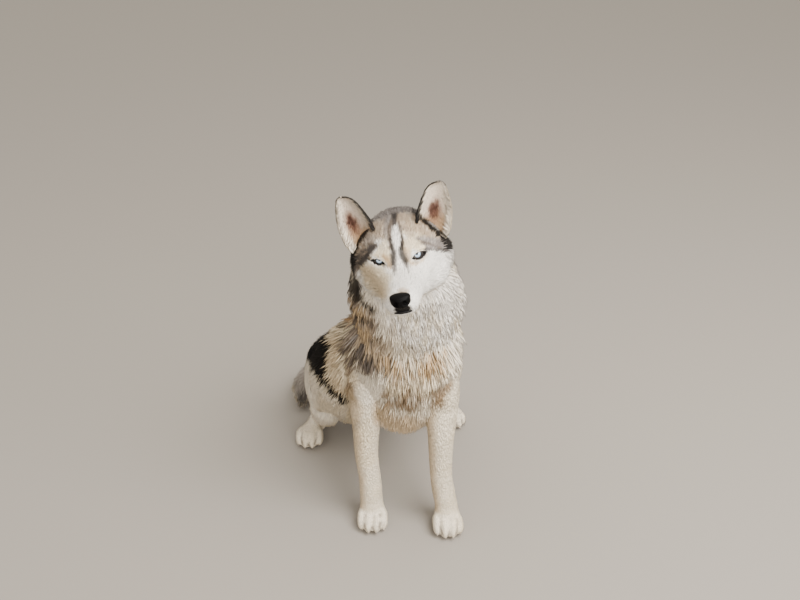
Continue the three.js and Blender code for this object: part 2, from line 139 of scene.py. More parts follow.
headForms = {
    "skull": {
        "stations": [
            [0, -97, -41, 26, 22], [0, -78, -41, 32.5, 27], [0, -48, -38, 37.5, 31], [0, -22, -33, 45, 34.5],
            [0, -3, -24, 57, 41], [0, 17, -15, 71.5, 54], [0, 43, -10, 84.5, 64], [0, 72, -9, 86, 67],
            [0, 104, -11, 77.5, 64.5], [0, 132, -14, 53.5, 47.5],
        ],
        "ends": (0.09, 0.16), "pear": 0.1, "inset": (2, 9), "coat": (3, 26),
    },
    "jaw": {
        "stations": [
            [0, 30, -62, 50, 34], [0, -22, -59, 34, 20], [0, -58, -57, 26, 16], [0, -88, -57, 18, 12.5],
        ],
        "ends": (0.2, 0.16), "inset": (8, 2), "coat": (24, 4), "against": True,
    },
}
for sideName, s in (("Left", 1), ("Right", -1)):
    headForms["cheek" + sideName] = {
        "stations": [
            [s * 14, -36, -42, 20, 20], [s * 26, 0, -44, 30, 32], [s * 40, 44, -46, 43, 45],
            [s * 40, 92, -42, 40, 48],
        ],
        "ends": (0.25, 0.3), "inset": (4, 8), "coat": (7, 38),
    }
    headForms["temple" + sideName] = {
        "stations": [[s * 68, 42, 8, 11, 16], [s * 79, 52, -18, 12.5, 24], [s * 80, 64, -52, 12, 24]],
        "ends": (0.3, 0.3), "inset": (3, 5), "coat": (10, 22),
    }
    headForms["brow" + sideName] = {
        "stations": [[s * 10, -4, 5, 9, 8], [s * 30, -1, 12, 12, 9], [s * 54, 14, 10, 13, 9]],
        "ends": (0.3, 0.3), "side": (0, 1, 0), "inset": (3, 3), "coat": (7, 8), "still": True,
    }

bodyForms = {
    "neck": {
        "stations": [
            [-7, 76, 655, 74, 64], [-2, 64, 606, 91, 84], [7, 76, 545, 103, 93], [13, 93, 485, 106, 101],
            [14, 106, 425, 103, 98],
        ],
        "ends": (0.15, 0.2), "inset": (16, 14), "coat": (36, 64),
    },
    "trunk": {
        "stations": [
            [12, 106, 482, 88, 74], [8, 122, 410, 108, 88], [-6, 152, 350, 132, 102],
            [-28, 202, 290, 149, 108], [-46, 256, 228, 149, 102], [-62, 315, 168, 141, 94],
            [-78, 370, 112, 125, 84], [-88, 406, 76, 110, 74],
        ],
        "ends": (0.14, 0.16), "turn": (0, 16), "inset": (8, 12), "coat": (42, 38),
    },
    "chest": {
        "stations": [
            [12, 84, 462, 84, 64], [12, 80, 400, 94, 66], [10, 86, 325, 92, 62], [8, 104, 250, 68, 54],
            [6, 122, 216, 46, 40],
        ],
        "ends": (0.25, 0.25), "inset": (12, 6), "coat": (62, 12),
    },
    "tail": {
        "stations": [
            [-88, 396, 104, 28, 28], [-98, 460, 84, 37, 37], [-116, 506, 56, 42, 42], [-156, 542, 43, 43, 43],
            [-202, 536, 40.5, 40.5, 40.5], [-230, 494, 34.5, 35, 35], [-236, 440, 21, 21.5, 21.5],
        ],
        "ends": (0.1, 0.2), "inset": (13, 17), "coat": (34, 34),
    },
}
foreFeet = {"Left": {"toe": (99, -12), "turn": 4}, "Right": {"toe": (-56, 4), "turn": 0}}
hindFeet = {"Left": {"toe": (132, 361), "turn": 20}, "Right": {"toe": (-207, 286), "turn": 0}}
foreLegs = {
    "Left": {"top": 78, "knee": 81, "wrist": 84, "foot": 94, "back": -12},
    "Right": {"top": -62, "knee": -67, "wrist": -61, "foot": -58, "back": 0},
}
for sideName, s in (("Left", 1), ("Right", -1)):
    leg = foreLegs[sideName]
    toeX, toeY = hindFeet[sideName]["toe"]
    bodyForms["foreleg" + sideName] = {
        "stations": [
            [leg["top"] - s * 28, 134, 372, 30, 46], [leg["top"] - s * 3, 104 + leg["back"] / 2, 310, 45, 60],
            [leg["top"] + s * 3, 88 + leg["back"] / 2, 260, 39, 50],
            [leg["knee"], 73 + leg["back"], 210, 31, 36],
            [leg["knee"], 65 + leg["back"], 160, 27, 29], [leg["wrist"], 61 + leg["back"], 105, 25, 27],
            [leg["foot"], 57 + leg["back"], 50, 26, 28], [leg["foot"], 56 + leg["back"], 22, 27, 30],
        ],
        "ends": (0.16, 0.1), "inset": (8, 1), "coat": (14, 5),
    }
    bodyForms["thigh" + sideName] = {
        "stations": [
            fromPelvis(s * 52, 26, 176) + [74, 82], fromPelvis(s * 98, -14, 176) + [74, 104],
            fromPelvis(s * 122, -66, 166) + [60, 96], fromPelvis(s * 130, -116, 146) + [42, 62],
        ],
        "ends": (0.3, 0.34), "turn": (16, 16), "inset": (7, 4), "coat": (24, 15),
    }
    bodyForms["shank" + sideName] = {
        "stations": [
            fromPelvis(s * 134, -96, 128) + [36, 44], fromPelvis(s * 134, -38, 96) + [36, 44],
            fromPelvis(s * 128, 38, 62) + [27, 32], fromPelvis(s * 126, 72, 46) + [22, 30],
        ],
        "ends": (0.3, 0.3), "turn": (16, 16), "inset": (6, 3), "coat": (20, 10),
    }
    bodyForms["hindFoot" + sideName] = {
        "stations": [
            fromPelvis(s * 126, 76, 40) + [22, 30], fromPelvis(s * 136, 26, 26) + [23, 24],
            [toeX, toeY + 60, 22, 27, 21],
        ],
        "ends": (0.3, 0.3), "turn": (16, 16), "inset": (3, 1.5), "coat": (10, 6),
    }

# A paw in its own frame: its toe tips are at the origin and it points to -Y.
paw = {"wide": 66, "toes": (-0.35, -0.125, 0.125, 0.35), "clefts": (-0.24, 0, 0.24), "outerBack": 11}


def toePlaces():
    # Each toe's place across the paw, and how far it stands back.
    return [(share * paw["wide"], 0 if i % 3 else paw["outerBack"]) for i, share in enumerate(paw["toes"])]


def pawForms(toe, turn):
    rotate = turnedAbout("z", turn)
    forms = {}
    pieces = {"pad": [[0, 78, 18, 20, 16], [0, 54, 18, 27, 18], [0, 28, 14, 25, 13]]}
    for i, (x, back) in enumerate(toePlaces()):
        pieces["toe%d" % i] = [
            [0.8 * x, 52 + back, 22, 9, 15], [0.96 * x, 30 + back, 22, 8.8, 15.5],
            [x, 14 + back, 17.5, 8.6, 16], [x, -4 + back, 12, 7.8, 11],
        ]
    for name, rows in pieces.items():
        stations = []
        for x, y, z, wide, deep in rows:
            place = rotate @ np.array([x, y, z]) + np.array([toe[0], toe[1], 0])
            stations.append([*place, wide, deep])
        forms[name] = {
            "stations": stations, "ends": (0.3, 0.3), "side": tuple(rotate @ np.array([1, 0, 0])),
            "inset": (0.5, 0.5), "coat": (7, 4.5),
        }
    return forms


for kind, feet in (("fore", foreFeet), ("hind", hindFeet)):
    for sideName, foot in feet.items():
        for name, form in pawForms(foot["toe"], foot["turn"]).items():
            bodyForms[kind + sideName + name] = form
allFeet = [*foreFeet.values(), *hindFeet.values()]


def alongRows(rows, t):
    # A smooth curve through the rows, read at shares t of its stations.
    rows = np.asarray(rows, float)
    last = len(rows) - 1
    at = np.clip(t, 0, 1) * last
    i = np.minimum(at.astype(int), last - 1)
    f = (at - i)[:, None]
    b, c = rows[i], rows[i + 1]
    a = np.where((i == 0)[:, None], 2 * b - c, rows[np.maximum(i - 1, 0)])
    d = np.where((i == last - 1)[:, None], 2 * c - b, rows[np.minimum(i + 2, last)])
    curve = 2 * b + (c - a) * f + (2 * a - 5 * b + 4 * c - d) * f ** 2
    return 0.5 * (curve + (3 * b - a - 3 * c + d) * f ** 3)


def roundEnd(t, share):
    s = 1 - np.minimum(1, t / share)
    return np.sqrt(1 - s * s)


def ringsOf(form, t):
    # Middle, tangent, two ways and half sizes of a form at shares t.
    rows = alongRows(form["stations"], t)
    step = 0.01
    line = form["stations"]
    tangent = alongRows(line, t + step)[:, :3] - alongRows(line, t - step)[:, :3]
    tangent /= np.linalg.norm(tangent, axis=1)[:, None]
    start, end = form.get("turn", (0, 0))
    angle = np.radians(start + (end - start) * t)
    x, y, z = form.get("side", (1, 0, 0))
    cosine, sine = np.cos(angle), np.sin(angle)
    side = np.stack([x * cosine - y * sine, x * sine + y * cosine, z + 0 * angle], 1)
    side -= tangent * (side * tangent).sum(1)[:, None]
    side /= np.linalg.norm(side, axis=1)[:, None]
    face = np.cross(tangent, side)
    return rows[:, :3], tangent, side, face, rows[:, 3], rows[:, 4]


def capOf(form, t):
    return roundEnd(t, form["ends"][0]) * roundEnd(1 - t, form["ends"][1])


def insetAt(form, t):
    return form["inset"][0] + (form["inset"][1] - form["inset"][0]) * t


def ringFaces(rows, around):
    # Faces of four sides between closed rings of points.
    faces = []
    for i in range(rows):
        for j in range(around):
            k = (j + 1) % around
            faces.append((i * around + j, i * around + k, (i + 1) * around + k, (i + 1) * around + j))
    return faces


def loftOf(form, around=36, rows=34):
    polar = np.linspace(0, np.pi, rows + 1)
    height = np.cos(polar)
    t = 0.5 * polar / np.pi + 0.25 * (1 - height)
    middle, tangent, side, face, wide, deep = ringsOf(form, t)
    cap, inset = capOf(form, t), insetAt(form, t)
    wide = np.maximum(wide * cap - inset, 0)
    deep = np.maximum(deep * cap - inset, 0)
    turn = np.arange(around) * 2 * np.pi / around
    cosine, sine = np.cos(turn), np.sin(turn)
    across = (wide[:, None] * (1 + form.get("pear", 0) * sine) * cosine)[..., None] * side[:, None, :]
    through = (deep[:, None] * sine)[..., None] * face[:, None, :]
    points = (middle[:, None, :] + across + through).reshape(-1, 3)
    return points, ringFaces(rows, around)


def ballOf(middle, radii, around=24, rows=16):
    # A closed ball as rings from pole to pole.
    polar = np.linspace(0, np.pi, rows + 1)
    turn = np.arange(around) * 2 * np.pi / around
    points = np.array([
        (math.sin(p) * math.cos(a) * radii[0], math.sin(p) * math.sin(a) * radii[1], math.cos(p) * radii[2])
        for p in polar for a in turn
    ]) + np.array(middle)
    return points, [(a, d, c, b) for a, b, c, d in ringFaces(rows, around)]


def meshFrom(name, points, faces):
    mesh = bpy.data.meshes.new(name)
    mesh.from_pydata([tuple(p) for p in toScene(points)], [], faces)
    mesh.update()
    return mesh


def objectFrom(name, mesh):
    item = bpy.data.objects.new(name, mesh)
    bpy.context.scene.collection.objects.link(item)
    return item


def cleaned(mesh, distance=1e-6):
    # Doubles merged and normals outwards.
    work = bmesh.new()
    work.from_mesh(mesh)
    bmesh.ops.remove_doubles(work, verts=work.verts, dist=distance)
    bmesh.ops.dissolve_degenerate(work, edges=work.edges, dist=distance)
    bmesh.ops.recalc_face_normals(work, faces=work.faces)
    work.to_mesh(mesh)
    work.free()


def joined(parts):
    points, faces, start = [], [], 0
    for somePoints, someFaces in parts:
        points.append(somePoints)
        faces += [tuple(i + start for i in face) for face in someFaces]
        start += len(somePoints)
    return np.vstack(points), faces


def settled(item):
    # The object's modifiers made final, as one plain mesh.
    graph = bpy.context.evaluated_depsgraph_get()
    mesh = bpy.data.meshes.new_from_object(item.evaluated_get(graph), depsgraph=graph)
    item.modifiers.clear()
    item.data = mesh
    return mesh


# The eyes: middle and radius in the head's frame, and the opening of the lids, an almond of
# its own height on each side with an upper and a lower share.
eye = {
    "apart": 66, "back": 5, "radius": 12, "long": 26, "high": (11.4, 12.8), "upper": 0.62, "lower": 0.38,
    "corner": 0.8, "round": 1.6, "slant": 12, "lid": 1.6, "shift": 1.5,
}
eyeSides = {"Left": 1, "Right": -1}


def eyeMiddle(s):
    return np.array([s * eye["apart"] / 2, eye["back"], 0.0])


def almond(s, steps=48):
    # The outline of the lids' opening, seen from the front.
    turn = np.arange(steps) * 2 * np.pi / steps
    half = eye["long"] / 2
    x = half * np.cos(turn)
    upper = eye["upper"] * eye["high"][s > 0] * np.maximum(0, np.sin(turn)) ** eye["corner"]
    lower = -eye["lower"] * eye["high"][s > 0] * np.maximum(0, -np.sin(turn)) ** eye["corner"]
    z = upper + lower
    a = math.radians(eye["slant"]) * s
    return x * math.cos(a) - z * math.sin(a) + s * eye["shift"], x * math.sin(a) + z * math.cos(a)


print("skin: lofts and remesh")

skinForm = {
    "voxel": 4.0, "smooth": 6, "floor": 1.0, "socket": 5.0, "socketWide": 1.12, "groove": 1.6,
    "grooveWide": 4.5, "grooveTo": (0, -20, -50),
}


def makeSkin():
    parts = []
    for form in headForms.values():
        points, faces = loftOf(form)
        parts.append((fromHead(points), faces))
    for s in eyeSides.values():
        r = eye["radius"] + eye["lid"]
        points, faces = ballOf(eyeMiddle(s), (r * skinForm["socketWide"], r, r))
        parts.append((fromHead(points), faces))
    parts += [loftOf(form) for form in bodyForms.values()]
    points, faces = joined(parts)
    points[:, 2] = np.maximum(points[:, 2], skinForm["floor"])
    item = objectFrom("skin", meshFrom("skin", points, faces))
    remesh = item.modifiers.new("remesh", "REMESH")
    remesh.mode = "VOXEL"
    remesh.voxel_size = skinForm["voxel"] * mm * coarser["voxel"]
    smooth = item.modifiers.new("smooth", "SMOOTH")
    smooth.iterations = skinForm["smooth"]
    settled(item)
    return item


skin = makeSkin()
print("skin", len(skin.data.vertices), "points")


def pointsOf(mesh):
    flat = np.empty(len(mesh.vertices) * 3)
    mesh.vertices.foreach_get("co", flat)
    return (flat.reshape(-1, 3) - dogPlace) / mm


def setPoints(mesh, points):
    mesh.vertices.foreach_set("co", toScene(points).ravel())
    mesh.update()


# The line of the mouth on the muzzle, from the middle of the front to a corner.
mouth = {"z": -55, "rise": 9, "front": 0.024, "back": 0.3, "lip": 2.3, "inset": 1.2, "seen": 0.27}


def mouthLine(steps=14):
    share = np.abs(np.arange(-steps, steps + 1)) / steps
    t = mouth["front"] + (mouth["back"] - mouth["front"]) * share ** 2
    middle, _, _, _, wide, deep = ringsOf(headForms["skull"], t)
    cap = capOf(headForms["skull"], t)
    z = mouth["z"] + mouth["rise"] * share ** 3
    wide, deep = wide * cap - mouth["inset"], deep * cap - mouth["inset"]
    sine = np.clip((middle[:, 2] - z) / deep, -1, 1)
    x = wide * (1 + headForms["skull"]["pear"] * sine) * np.sqrt(1 - sine ** 2)
    return np.stack([np.sign(np.arange(-steps, steps + 1)) * x, middle[:, 1], z], axis=1)


def nearLine(points, line):
    # Distance from each point to a polyline, and the share along it.
    best = np.full(len(points), 1e9)
    share = np.zeros(len(points))
    for i in range(len(line) - 1):
        a, b = np.asarray(line[i], float)[:3], np.asarray(line[i + 1], float)[:3]
        ab = b - a
        f = np.clip(((points - a) @ ab) / max(ab @ ab, 1e-9), 0, 1)
        distance = np.linalg.norm(points - (a + f[:, None] * ab), axis=1)
        closer = distance < best
        best[closer] = distance[closer]
        share[closer] = (i + f[closer]) / (len(line) - 1)
    return best, share


# Where the skin gets finer faces, in the head's frame: the end of the muzzle, the blaze, round
# the eyes, and once the whole forehead.
fineSkin = {"muzzle": (-60, -40), "blaze": (17, 45, -14), "eyes": 17, "eyesFront": -9, "forehead": (50, -28)}


def nearFace(local, wide):
    x, y, z = local.T
    half, back, low = fineSkin["blaze"]
    near = (y < fineSkin["muzzle"][0]) & (z < fineSkin["muzzle"][1])
    near |= (np.abs(x) < half) & (y < back) & (z > low)
    for s in eyeSides.values():
        away = local - eyeMiddle(s) - np.array([0, fineSkin["eyesFront"], 0])
        near |= np.linalg.norm(away, axis=1) < fineSkin["eyes"]
    return near | (wide & (y < fineSkin["forehead"][0]) & (z > fineSkin["forehead"][1]))


def refineSkin(item):
    for wide in (True, False):
        work = bmesh.new()
        work.from_mesh(item.data)
        flat = np.array([v.co for v in work.verts])
        near = nearFace(toHead((flat - dogPlace) / mm), wide)
        edges = [e for e in work.edges if near[e.verts[0].index] and near[e.verts[1].index]]
        bmesh.ops.subdivide_edges(work, edges=edges, cuts=1, use_grid_fill=True, smooth=0.6)
        bmesh.ops.triangulate(work, faces=[f for f in work.faces if len(f.verts) > 4])
        work.to_mesh(item.data)
        work.free()


def edgesOf(mesh):
    edges = np.empty(len(mesh.edges) * 2, int)
    mesh.edges.foreach_get("vertices", edges)
    return edges.reshape(-1, 2)


def spread(values, edges, count, rounds):
    # Each point takes the mean of itself and its neighbours, some times over.
    a, b = edges[:, 0], edges[:, 1]
    degree = 1 + np.bincount(a, minlength=count) + np.bincount(b, minlength=count)
    for _ in range(rounds):
        total = values.copy()
        for k in range(values.shape[1]):
            total[:, k] += np.bincount(a, values[b, k], count) + np.bincount(b, values[a, k], count)
        values = total / degree[:, None]
    return values


# Under long hair the forms run into each other, and a leg runs into its paw; each stop is
# x, y, z and radius in mm, and each list has its rounds of smoothing.
softJoins = {
    110: [
        (14, 60, 455, 120), (8, 120, 420, 130), (-20, 180, 350, 130), (-50, 280, 230, 120),
        (-130, 250, 200, 80), (50, 250, 200, 70), (-70, 370, 110, 90), (2, 192, 470, 95), (62, 318, 196, 84),
        (20, 392, 236, 92), (-130, 372, 240, 76),
    ],
    14: [(foot["toe"][0], foot["toe"][1] + 66, 44, 44) for foot in allFeet],
}


def softenSkin(item):
    mesh = item.data
    for rounds, joins in softJoins.items():
        points = pointsOf(mesh)
        mask = np.zeros(len(points))
        for x, y, z, radius in joins:
            away = np.linalg.norm(points - [x, y, z], axis=1)
            mask = np.maximum(mask, 1 - ramp(away, 0.7 * radius, radius))
        relaxed = spread(points, edgesOf(mesh), len(points), rounds)
        setPoints(mesh, points + (relaxed - points) * mask[:, None])


def ramp(value, low, high):
    x = np.clip((value - low) / (high - low), 0, 1)
    return x * x * (3 - 2 * x)


def lidOpening(local, s):
    # Each point's place from an eye's middle, and a measure that is 1 on the edge of its lids.
    across = local - eyeMiddle(s)
    a = math.radians(eye["slant"]) * s
    x, z = across[:, 0] - s * eye["shift"], across[:, 2]
    u = x * math.cos(a) + z * math.sin(a)
    v = -x * math.sin(a) + z * math.cos(a)
    high = np.where(v > 0, eye["upper"], eye["lower"]) * eye["high"][s > 0]
    return across, (np.abs(u) / (eye["long"] / 2)) ** eye["round"] + (np.abs(v) / high) ** eye["round"]


def carveSkin(item):
    softenSkin(item)
    refineSkin(item)
    mesh = item.data
    local = toHead(pointsOf(mesh))
    for s in eyeSides.values():
        # Inside the lids' opening the skin lies behind the eyeball.
        across, inside = lidOpening(local, s)
        deep = np.clip((1.25 - inside) / 0.35, 0, 1) * (across[:, 1] < 2) * (np.abs(across[:, 0]) < 30)
        local[:, 1] += deep * np.maximum(0, skinForm["socket"] - across[:, 1])
    # The line of the mouth is a groove.
    distance, _ = nearLine(local, mouthLine())
    inward = local - np.array(skinForm["grooveTo"])
    inward /= np.linalg.norm(inward, axis=1)[:, None]
    near = np.clip(1 - distance / skinForm["grooveWide"], 0, 1) ** 1.5
    local -= inward * (near * skinForm["groove"])[:, None]
    setPoints(mesh, fromHead(local))


carveSkin(skin)

# The ears: a curved shell each, its cup open to the front, sunk into the crown.

ear = {
    "base": (58, 45, 3), "middle": (69, 52, 50), "tip": (82, 59, 101), "blunt": 0.12, "wrap": (88, 46),
    "wide": (23, 29, 31.5, 31.5, 27.5, 21, 13), "thick": (5, 2.4), "outward": 14, "across": 30, "up": 40,
}


def earLine(s):
    return np.array([ear["base"], ear["middle"], ear["tip"]]) * np.array([s, 1, 1])


def earSheet(s):
    # Rows up the ear; each row runs round its wall, then back along the cup.
    t = np.linspace(0, 1, ear["up"] + 1)
    line = alongRows(earLine(s), t)
    narrower = 0.25 + 0.75 * roundEnd(1 - t, ear["blunt"])
    wide = alongRows(np.array(ear["wide"], float)[:, None], t)[:, 0] * narrower
    wrap = np.radians(ear["wrap"][0] + (ear["wrap"][1] - ear["wrap"][0]) * t)
    thick = ear["thick"][0] + (ear["thick"][1] - ear["thick"][0]) * t
    u = np.linspace(-1, 1, ear["across"] + 1)
    turn = turnedAbout("z", s * ear["outward"])
    outer, inner = [], []
    for i in range(len(t)):
        angle = u * wrap[i]
        radius = wide[i] / max(math.sin(min(wrap[i], math.pi / 2)), 0.5)
        wallX, wallY = radius * np.sin(angle), radius * (np.cos(angle) - 0.45)
        out = np.stack([np.sin(angle), np.cos(angle), 0 * angle], axis=1)
        flat = np.stack([wallX, wallY, 0 * wallX], axis=1)
        rim = thick[i] * np.sqrt(np.maximum(0.06, 1 - np.abs(u) ** 6))
        outer.append(line[i] + (flat + out * (rim / 2)[:, None]) @ turn.T)
        inner.append(line[i] + (flat - out * (rim / 2)[:, None]) @ turn.T)
    return np.array(outer), np.array(inner), t, u


def makeEar(s):
    outer, inner, t, u = earSheet(s)
    rows, columns = outer.shape[:2]
    points = np.vstack([outer.reshape(-1, 3), inner.reshape(-1, 3)])
    offset = rows * columns
    faces = []
    for i in range(rows - 1):
        for j in range(columns - 1):
            a, b = i * columns + j, i * columns + j + 1
            c, d = b + columns, a + columns
            faces.append((a, b, c, d))
            faces.append((offset + d, offset + c, offset + b, offset + a))
        for j in (0, columns - 1):
            a, d = i * columns + j, (i + 1) * columns + j
            quad = (a, d, offset + d, offset + a)
            faces.append(quad if j == 0 else quad[::-1])
    for i in (0, rows - 1):
        for j in range(columns - 1):
            a, b = i * columns + j, i * columns + j + 1
            quad = (a, offset + a, offset + b, b)
            faces.append(quad if i == 0 else quad[::-1])
    shares = np.array([(t[i], u[j]) for i in range(rows) for j in range(columns)])
    where = np.vstack([np.c_[shares, np.zeros(len(shares))], np.c_[shares, np.ones(len(shares))]])
    return fromHead(points), faces, where


def addEars(item):
    # Joins both ears to the skin's mesh; returns where each of their points lies on its ear.
    mesh = item.data
    points = pointsOf(mesh)
    faces = [tuple(p.vertices) for p in mesh.polygons]
    where = [np.full((len(points), 3), -1.0)]
    sides = [np.zeros(len(points))]
    parts = [(points, faces)]
    for s in eyeSides.values():
        earPoints, earFaces, earWhere = makeEar(s)
        parts.append((earPoints, [face[::-1] for face in earFaces]))
        where.append(earWhere)
        sides.append(np.full(len(earPoints), s))
    allPoints, allFaces = joined(parts)
    item.data = meshFrom("skin", allPoints, allFaces)
    return np.vstack(where), np.concatenate(sides)


earWhere, earSide = addEars(skin)
print("skin with ears", len(skin.data.vertices), "points")

# What the coat does at each point of the skin: which way it lies, how long it is and
# how far it stands up. Each form of flesh gives its own, and they blend where forms meet.

coat = {
    "blend": 6.0, "rounds": 8, "fall": 0.35, "layers": 3.4, "breadth": (1.35, 0.05),
    "floor": 0.0006,  # the lowest that a tuft goes, in metres
    "earInside": 15, "earBack": (9, 4),  # length at an ear's base, and less at its tip
    "napeShort": (0.42, 95, 170), "crownShort": (0.6, 14, 44),  # how much shorter, from and to
    "shoulders": ((-68, 45, 345, 66), (104, 45, 345, 54)),  # shorter inside these balls
    "byEyes": (2.5, 0.22), "byNose": (2.5, 0.16),  # longest at the edge, and more for each mm away
}


def weigh(points, form):
    # Index of the points near a form, their weights there, the flow and the share along it.
    t = np.linspace(0, 1, 17)
    rows = alongRows(form["stations"], t)
    reach = rows[:, 3:5].max() + 35
    near = np.all((points > rows[:, :3].min(0) - reach) & (points < rows[:, :3].max(0) + reach), axis=1)
    index = np.flatnonzero(near)
    some = points[index]
    best = np.zeros(len(some))
    least = np.full(len(some), 1e12)
    for share, row in zip(t, rows):
        distance = ((some - row[:3]) ** 2).sum(1)
        closer = distance < least
        best[closer], least[closer] = share, distance[closer]
    middle, tangent, _, _, _, _ = ringsOf(form, best)
    speed = np.linalg.norm(rows[1:, :3] - rows[:-1, :3], axis=1).sum()
    best = np.clip(best + ((some - middle) * tangent).sum(1) / speed, 0, 1)
    middle, tangent, side, face, wide, deep = ringsOf(form, best)
    away = some - middle
    inset = insetAt(form, best)
    a = (away * side).sum(1) / np.maximum(wide - inset, 3)
    b = (away * face).sum(1) / np.maximum(deep - inset, 3)
    beyond = np.abs((away * tangent).sum(1))
    distance = (np.sqrt(a * a + b * b) - 1) * np.minimum(wide, deep) + 0.6 * beyond
    weight = np.exp(-np.maximum(distance, 0) / coat["blend"])
    return index, weight, tangent * (-1 if form.get("against") else 1), best


regionNames = ["head", "neck", "chest", "trunk", "hind", "fore", "paw", "tail"]


def regionOf(name):
    if name in headForms:
        return "head"
    if name in ("neck", "chest", "trunk", "tail"):
        return name
    if name.endswith("pad") or "toe" in name:
        return "paw"
    return "fore" if name.startswith("fore") else "hind"


def blendForms(points, local):
    # The coat's way, its length and each region's share, blended from the forms near a point.
    count = len(points)
    flow = np.zeros((count, 3))
    hair = np.zeros(count)
    total = np.full(count, 1e-9)
    shares = np.zeros((count, len(regionNames)))
    for name, form in {**headForms, **bodyForms}.items():
        isHead = name in headForms
        index, weight, way, t = weigh(local if isHead else points, form)
        if isHead:
            way = way @ headTurn.T
        low, high = form["coat"]
        hair[index] += weight * (low + (high - low) * t)
        total[index] += weight
        shares[index, regionNames.index(regionOf(name))] += weight
        if not form.get("still"):
            flow[index] += way * weight[:, None]
    return flow, hair / total, shares, total


def trimHair(points, local, hair, onNeck):
    less, start, end = coat["napeShort"]
    hair = hair * (1 - less * ramp(points[:, 1], start, end) * onNeck)
    less, start, end = coat["crownShort"]
    hair = hair * (1 - less * ramp(local[:, 2], start, end) * (local[:, 1] > 20))
    for x, y, z, radius in coat["shoulders"]:
        away = np.linalg.norm(points - [x, y, z], axis=1)
        hair = hair * (0.5 + 0.5 * ramp(away, 0.5 * radius, 1.1 * radius))
    return hair


def combEars(flow, hair, shares):
    # Hair on the ears runs up to their tips; inside it is longer near the floor.
    for s in eyeSides.values():
        mine = earSide == s
        t = np.clip(earWhere[mine, 0], 0.02, 0.98)
        along = alongRows(earLine(s), t + 0.02) - alongRows(earLine(s), t - 0.02)
        along /= np.linalg.norm(along, axis=1)[:, None]
        inside = earWhere[mine, 2] > 0.5
        u = earWhere[mine, 1]
        across = np.zeros_like(along)
        across[:, 0] = -u * inside
        flow[mine] = (along + 1.1 * across) @ headTurn.T
        woolly = coat["earInside"] * (0.55 + 0.45 * np.abs(u)) * (1.15 - 0.6 * t)
        woolly *= 1 - 0.7 * ramp(t, 0.84, 0.97)
        hair[mine] = np.where(inside, woolly, coat["earBack"][0] - coat["earBack"][1] * t)
        shares[mine] = 0
        shares[mine, 0] = 1


def unitRows(rows):
    return rows / (np.linalg.norm(rows, axis=1)[:, None] + 1e-9)


def makeFields(item):
    mesh = item.data
    points = pointsOf(mesh)
    local = toHead(points)
    flow, hair, shares, total = blendForms(points, local)
    neck = shares[:, regionNames.index("neck")]
    hair = trimHair(points, local, hair, neck > 0.2 * total)
    normals = np.empty(len(points) * 3)
    mesh.vertex_normals.foreach_get("vector", normals)
    normals = normals.reshape(-1, 3)
    # Under the crown the neck's hair runs back, and long hair hangs.
    flow = unitRows(flow)
    crest = ramp(points[:, 2], 640, 690) * (neck > 0)
    flow += crest[:, None] * np.array([0, 1.6, 0.3])
    flow[:, 2] -= coat["fall"] * ramp(hair, 15, 50)
    skinPart = earSide == 0
    smoothed = spread(np.c_[flow, hair], edgesOf(mesh), len(points), coat["rounds"])
    flow[skinPart], hair[skinPart] = smoothed[skinPart, :3], smoothed[skinPart, 3]
    combEars(flow, hair, shares)
    flow -= normals * (flow * normals).sum(1)[:, None]
    flow = unitRows(flow)
    # Short round the eyes, on the nose's edge and on the lips.
    for s in eyeSides.values():
        away = np.linalg.norm(local - eyeMiddle(s) - np.array([0, -11, 0]), axis=1)
        hair = np.minimum(hair, coat["byEyes"][0] + coat["byEyes"][1] * away)
    noseAway = np.linalg.norm(local - np.array(nose["middle"]), axis=1)
    hair = np.minimum(hair, coat["byNose"][0] + coat["byNose"][1] * noseAway)
    # Where a tuft rooted here shows: half its length on, and out by its rise.
    where = points + (0.5 * flow + 0.3 * normals) * hair[:, None]
    return {
        "points": points, "local": local, "flow": flow, "hair": hair, "region": shares.argmax(1),
        "normals": normals, "where": where, "noseAway": noseAway,
    }


def inRegion(f, *names):
    return np.isin(f["region"], [regionNames.index(name) for name in names])


# The nose's half sizes, how deep its nostrils and its crease are, and the bare skin below it.
nose = {
    "middle": (0, -98, -31), "half": (15.8, 13, 14.2), "nostril": 6.0, "crease": 1.6,
    # A nostril's round and its slit: x, z, and half sizes, in shares of the pad.
    "hole": (0.42, -0.02, 0.2, 0.26), "slit": (0.68, -0.2, 0.26, 0.12),
}
lipSkin = {"half": (14, 9), "low": -48, "front": (-90, -82)}


def lipPatch(local):
    # 1 on the bare black skin between the nose and the mouth.
    away = np.hypot(local[:, 0] / lipSkin["half"][0], (local[:, 2] - lipSkin["low"]) / lipSkin["half"][1])
    return (1 - ramp(away, 0.85, 1.1)) * (1 - ramp(local[:, 1], *lipSkin["front"]))


fields = makeFields(skin)
print("fields", {n: int((fields["region"] == i).sum()) for i, n in enumerate(regionNames)})

# Markings: soft strokes over a ground colour, given by the photo's pixels where the photo
# shows them, and in mm on the dog elsewhere.

shades = {name: linear(value) for name, value in {
    "white": "#fdf8f0", "ivory": "#f5e9d5", "cream": "#e9d8b9", "sand": "#ccb089", "tan": "#a9845a",
    "grey": "#8d8682", "fawn": "#b6a28c", "smoke": "#6e6258", "slate": "#4b4542", "black": "#181513",
    "brown": "#866c4e", "bone": "#d4c4b2", "rust": "#74432f", "umber": "#3a2219",
}.items()}
# How ragged the strokes' edges are on each part, in mm: by the coarse noise and by the fine.
ragged = {"body": (8, 5), "neck": (9, 8), "head": (2.6, 2.0)}


def noiseAt(points, size, seed):
    # Value from -1 to 1 that changes over about "size" mm.
    scaled = points / size + seed
    return np.array([2.2 * mathNoise.noise(p) for p in scaled.tolist()]).clip(-1, 1)


def raggedEdge(part, coarse, fine):
    return ragged[part][0] * coarse + ragged[part][1] * fine


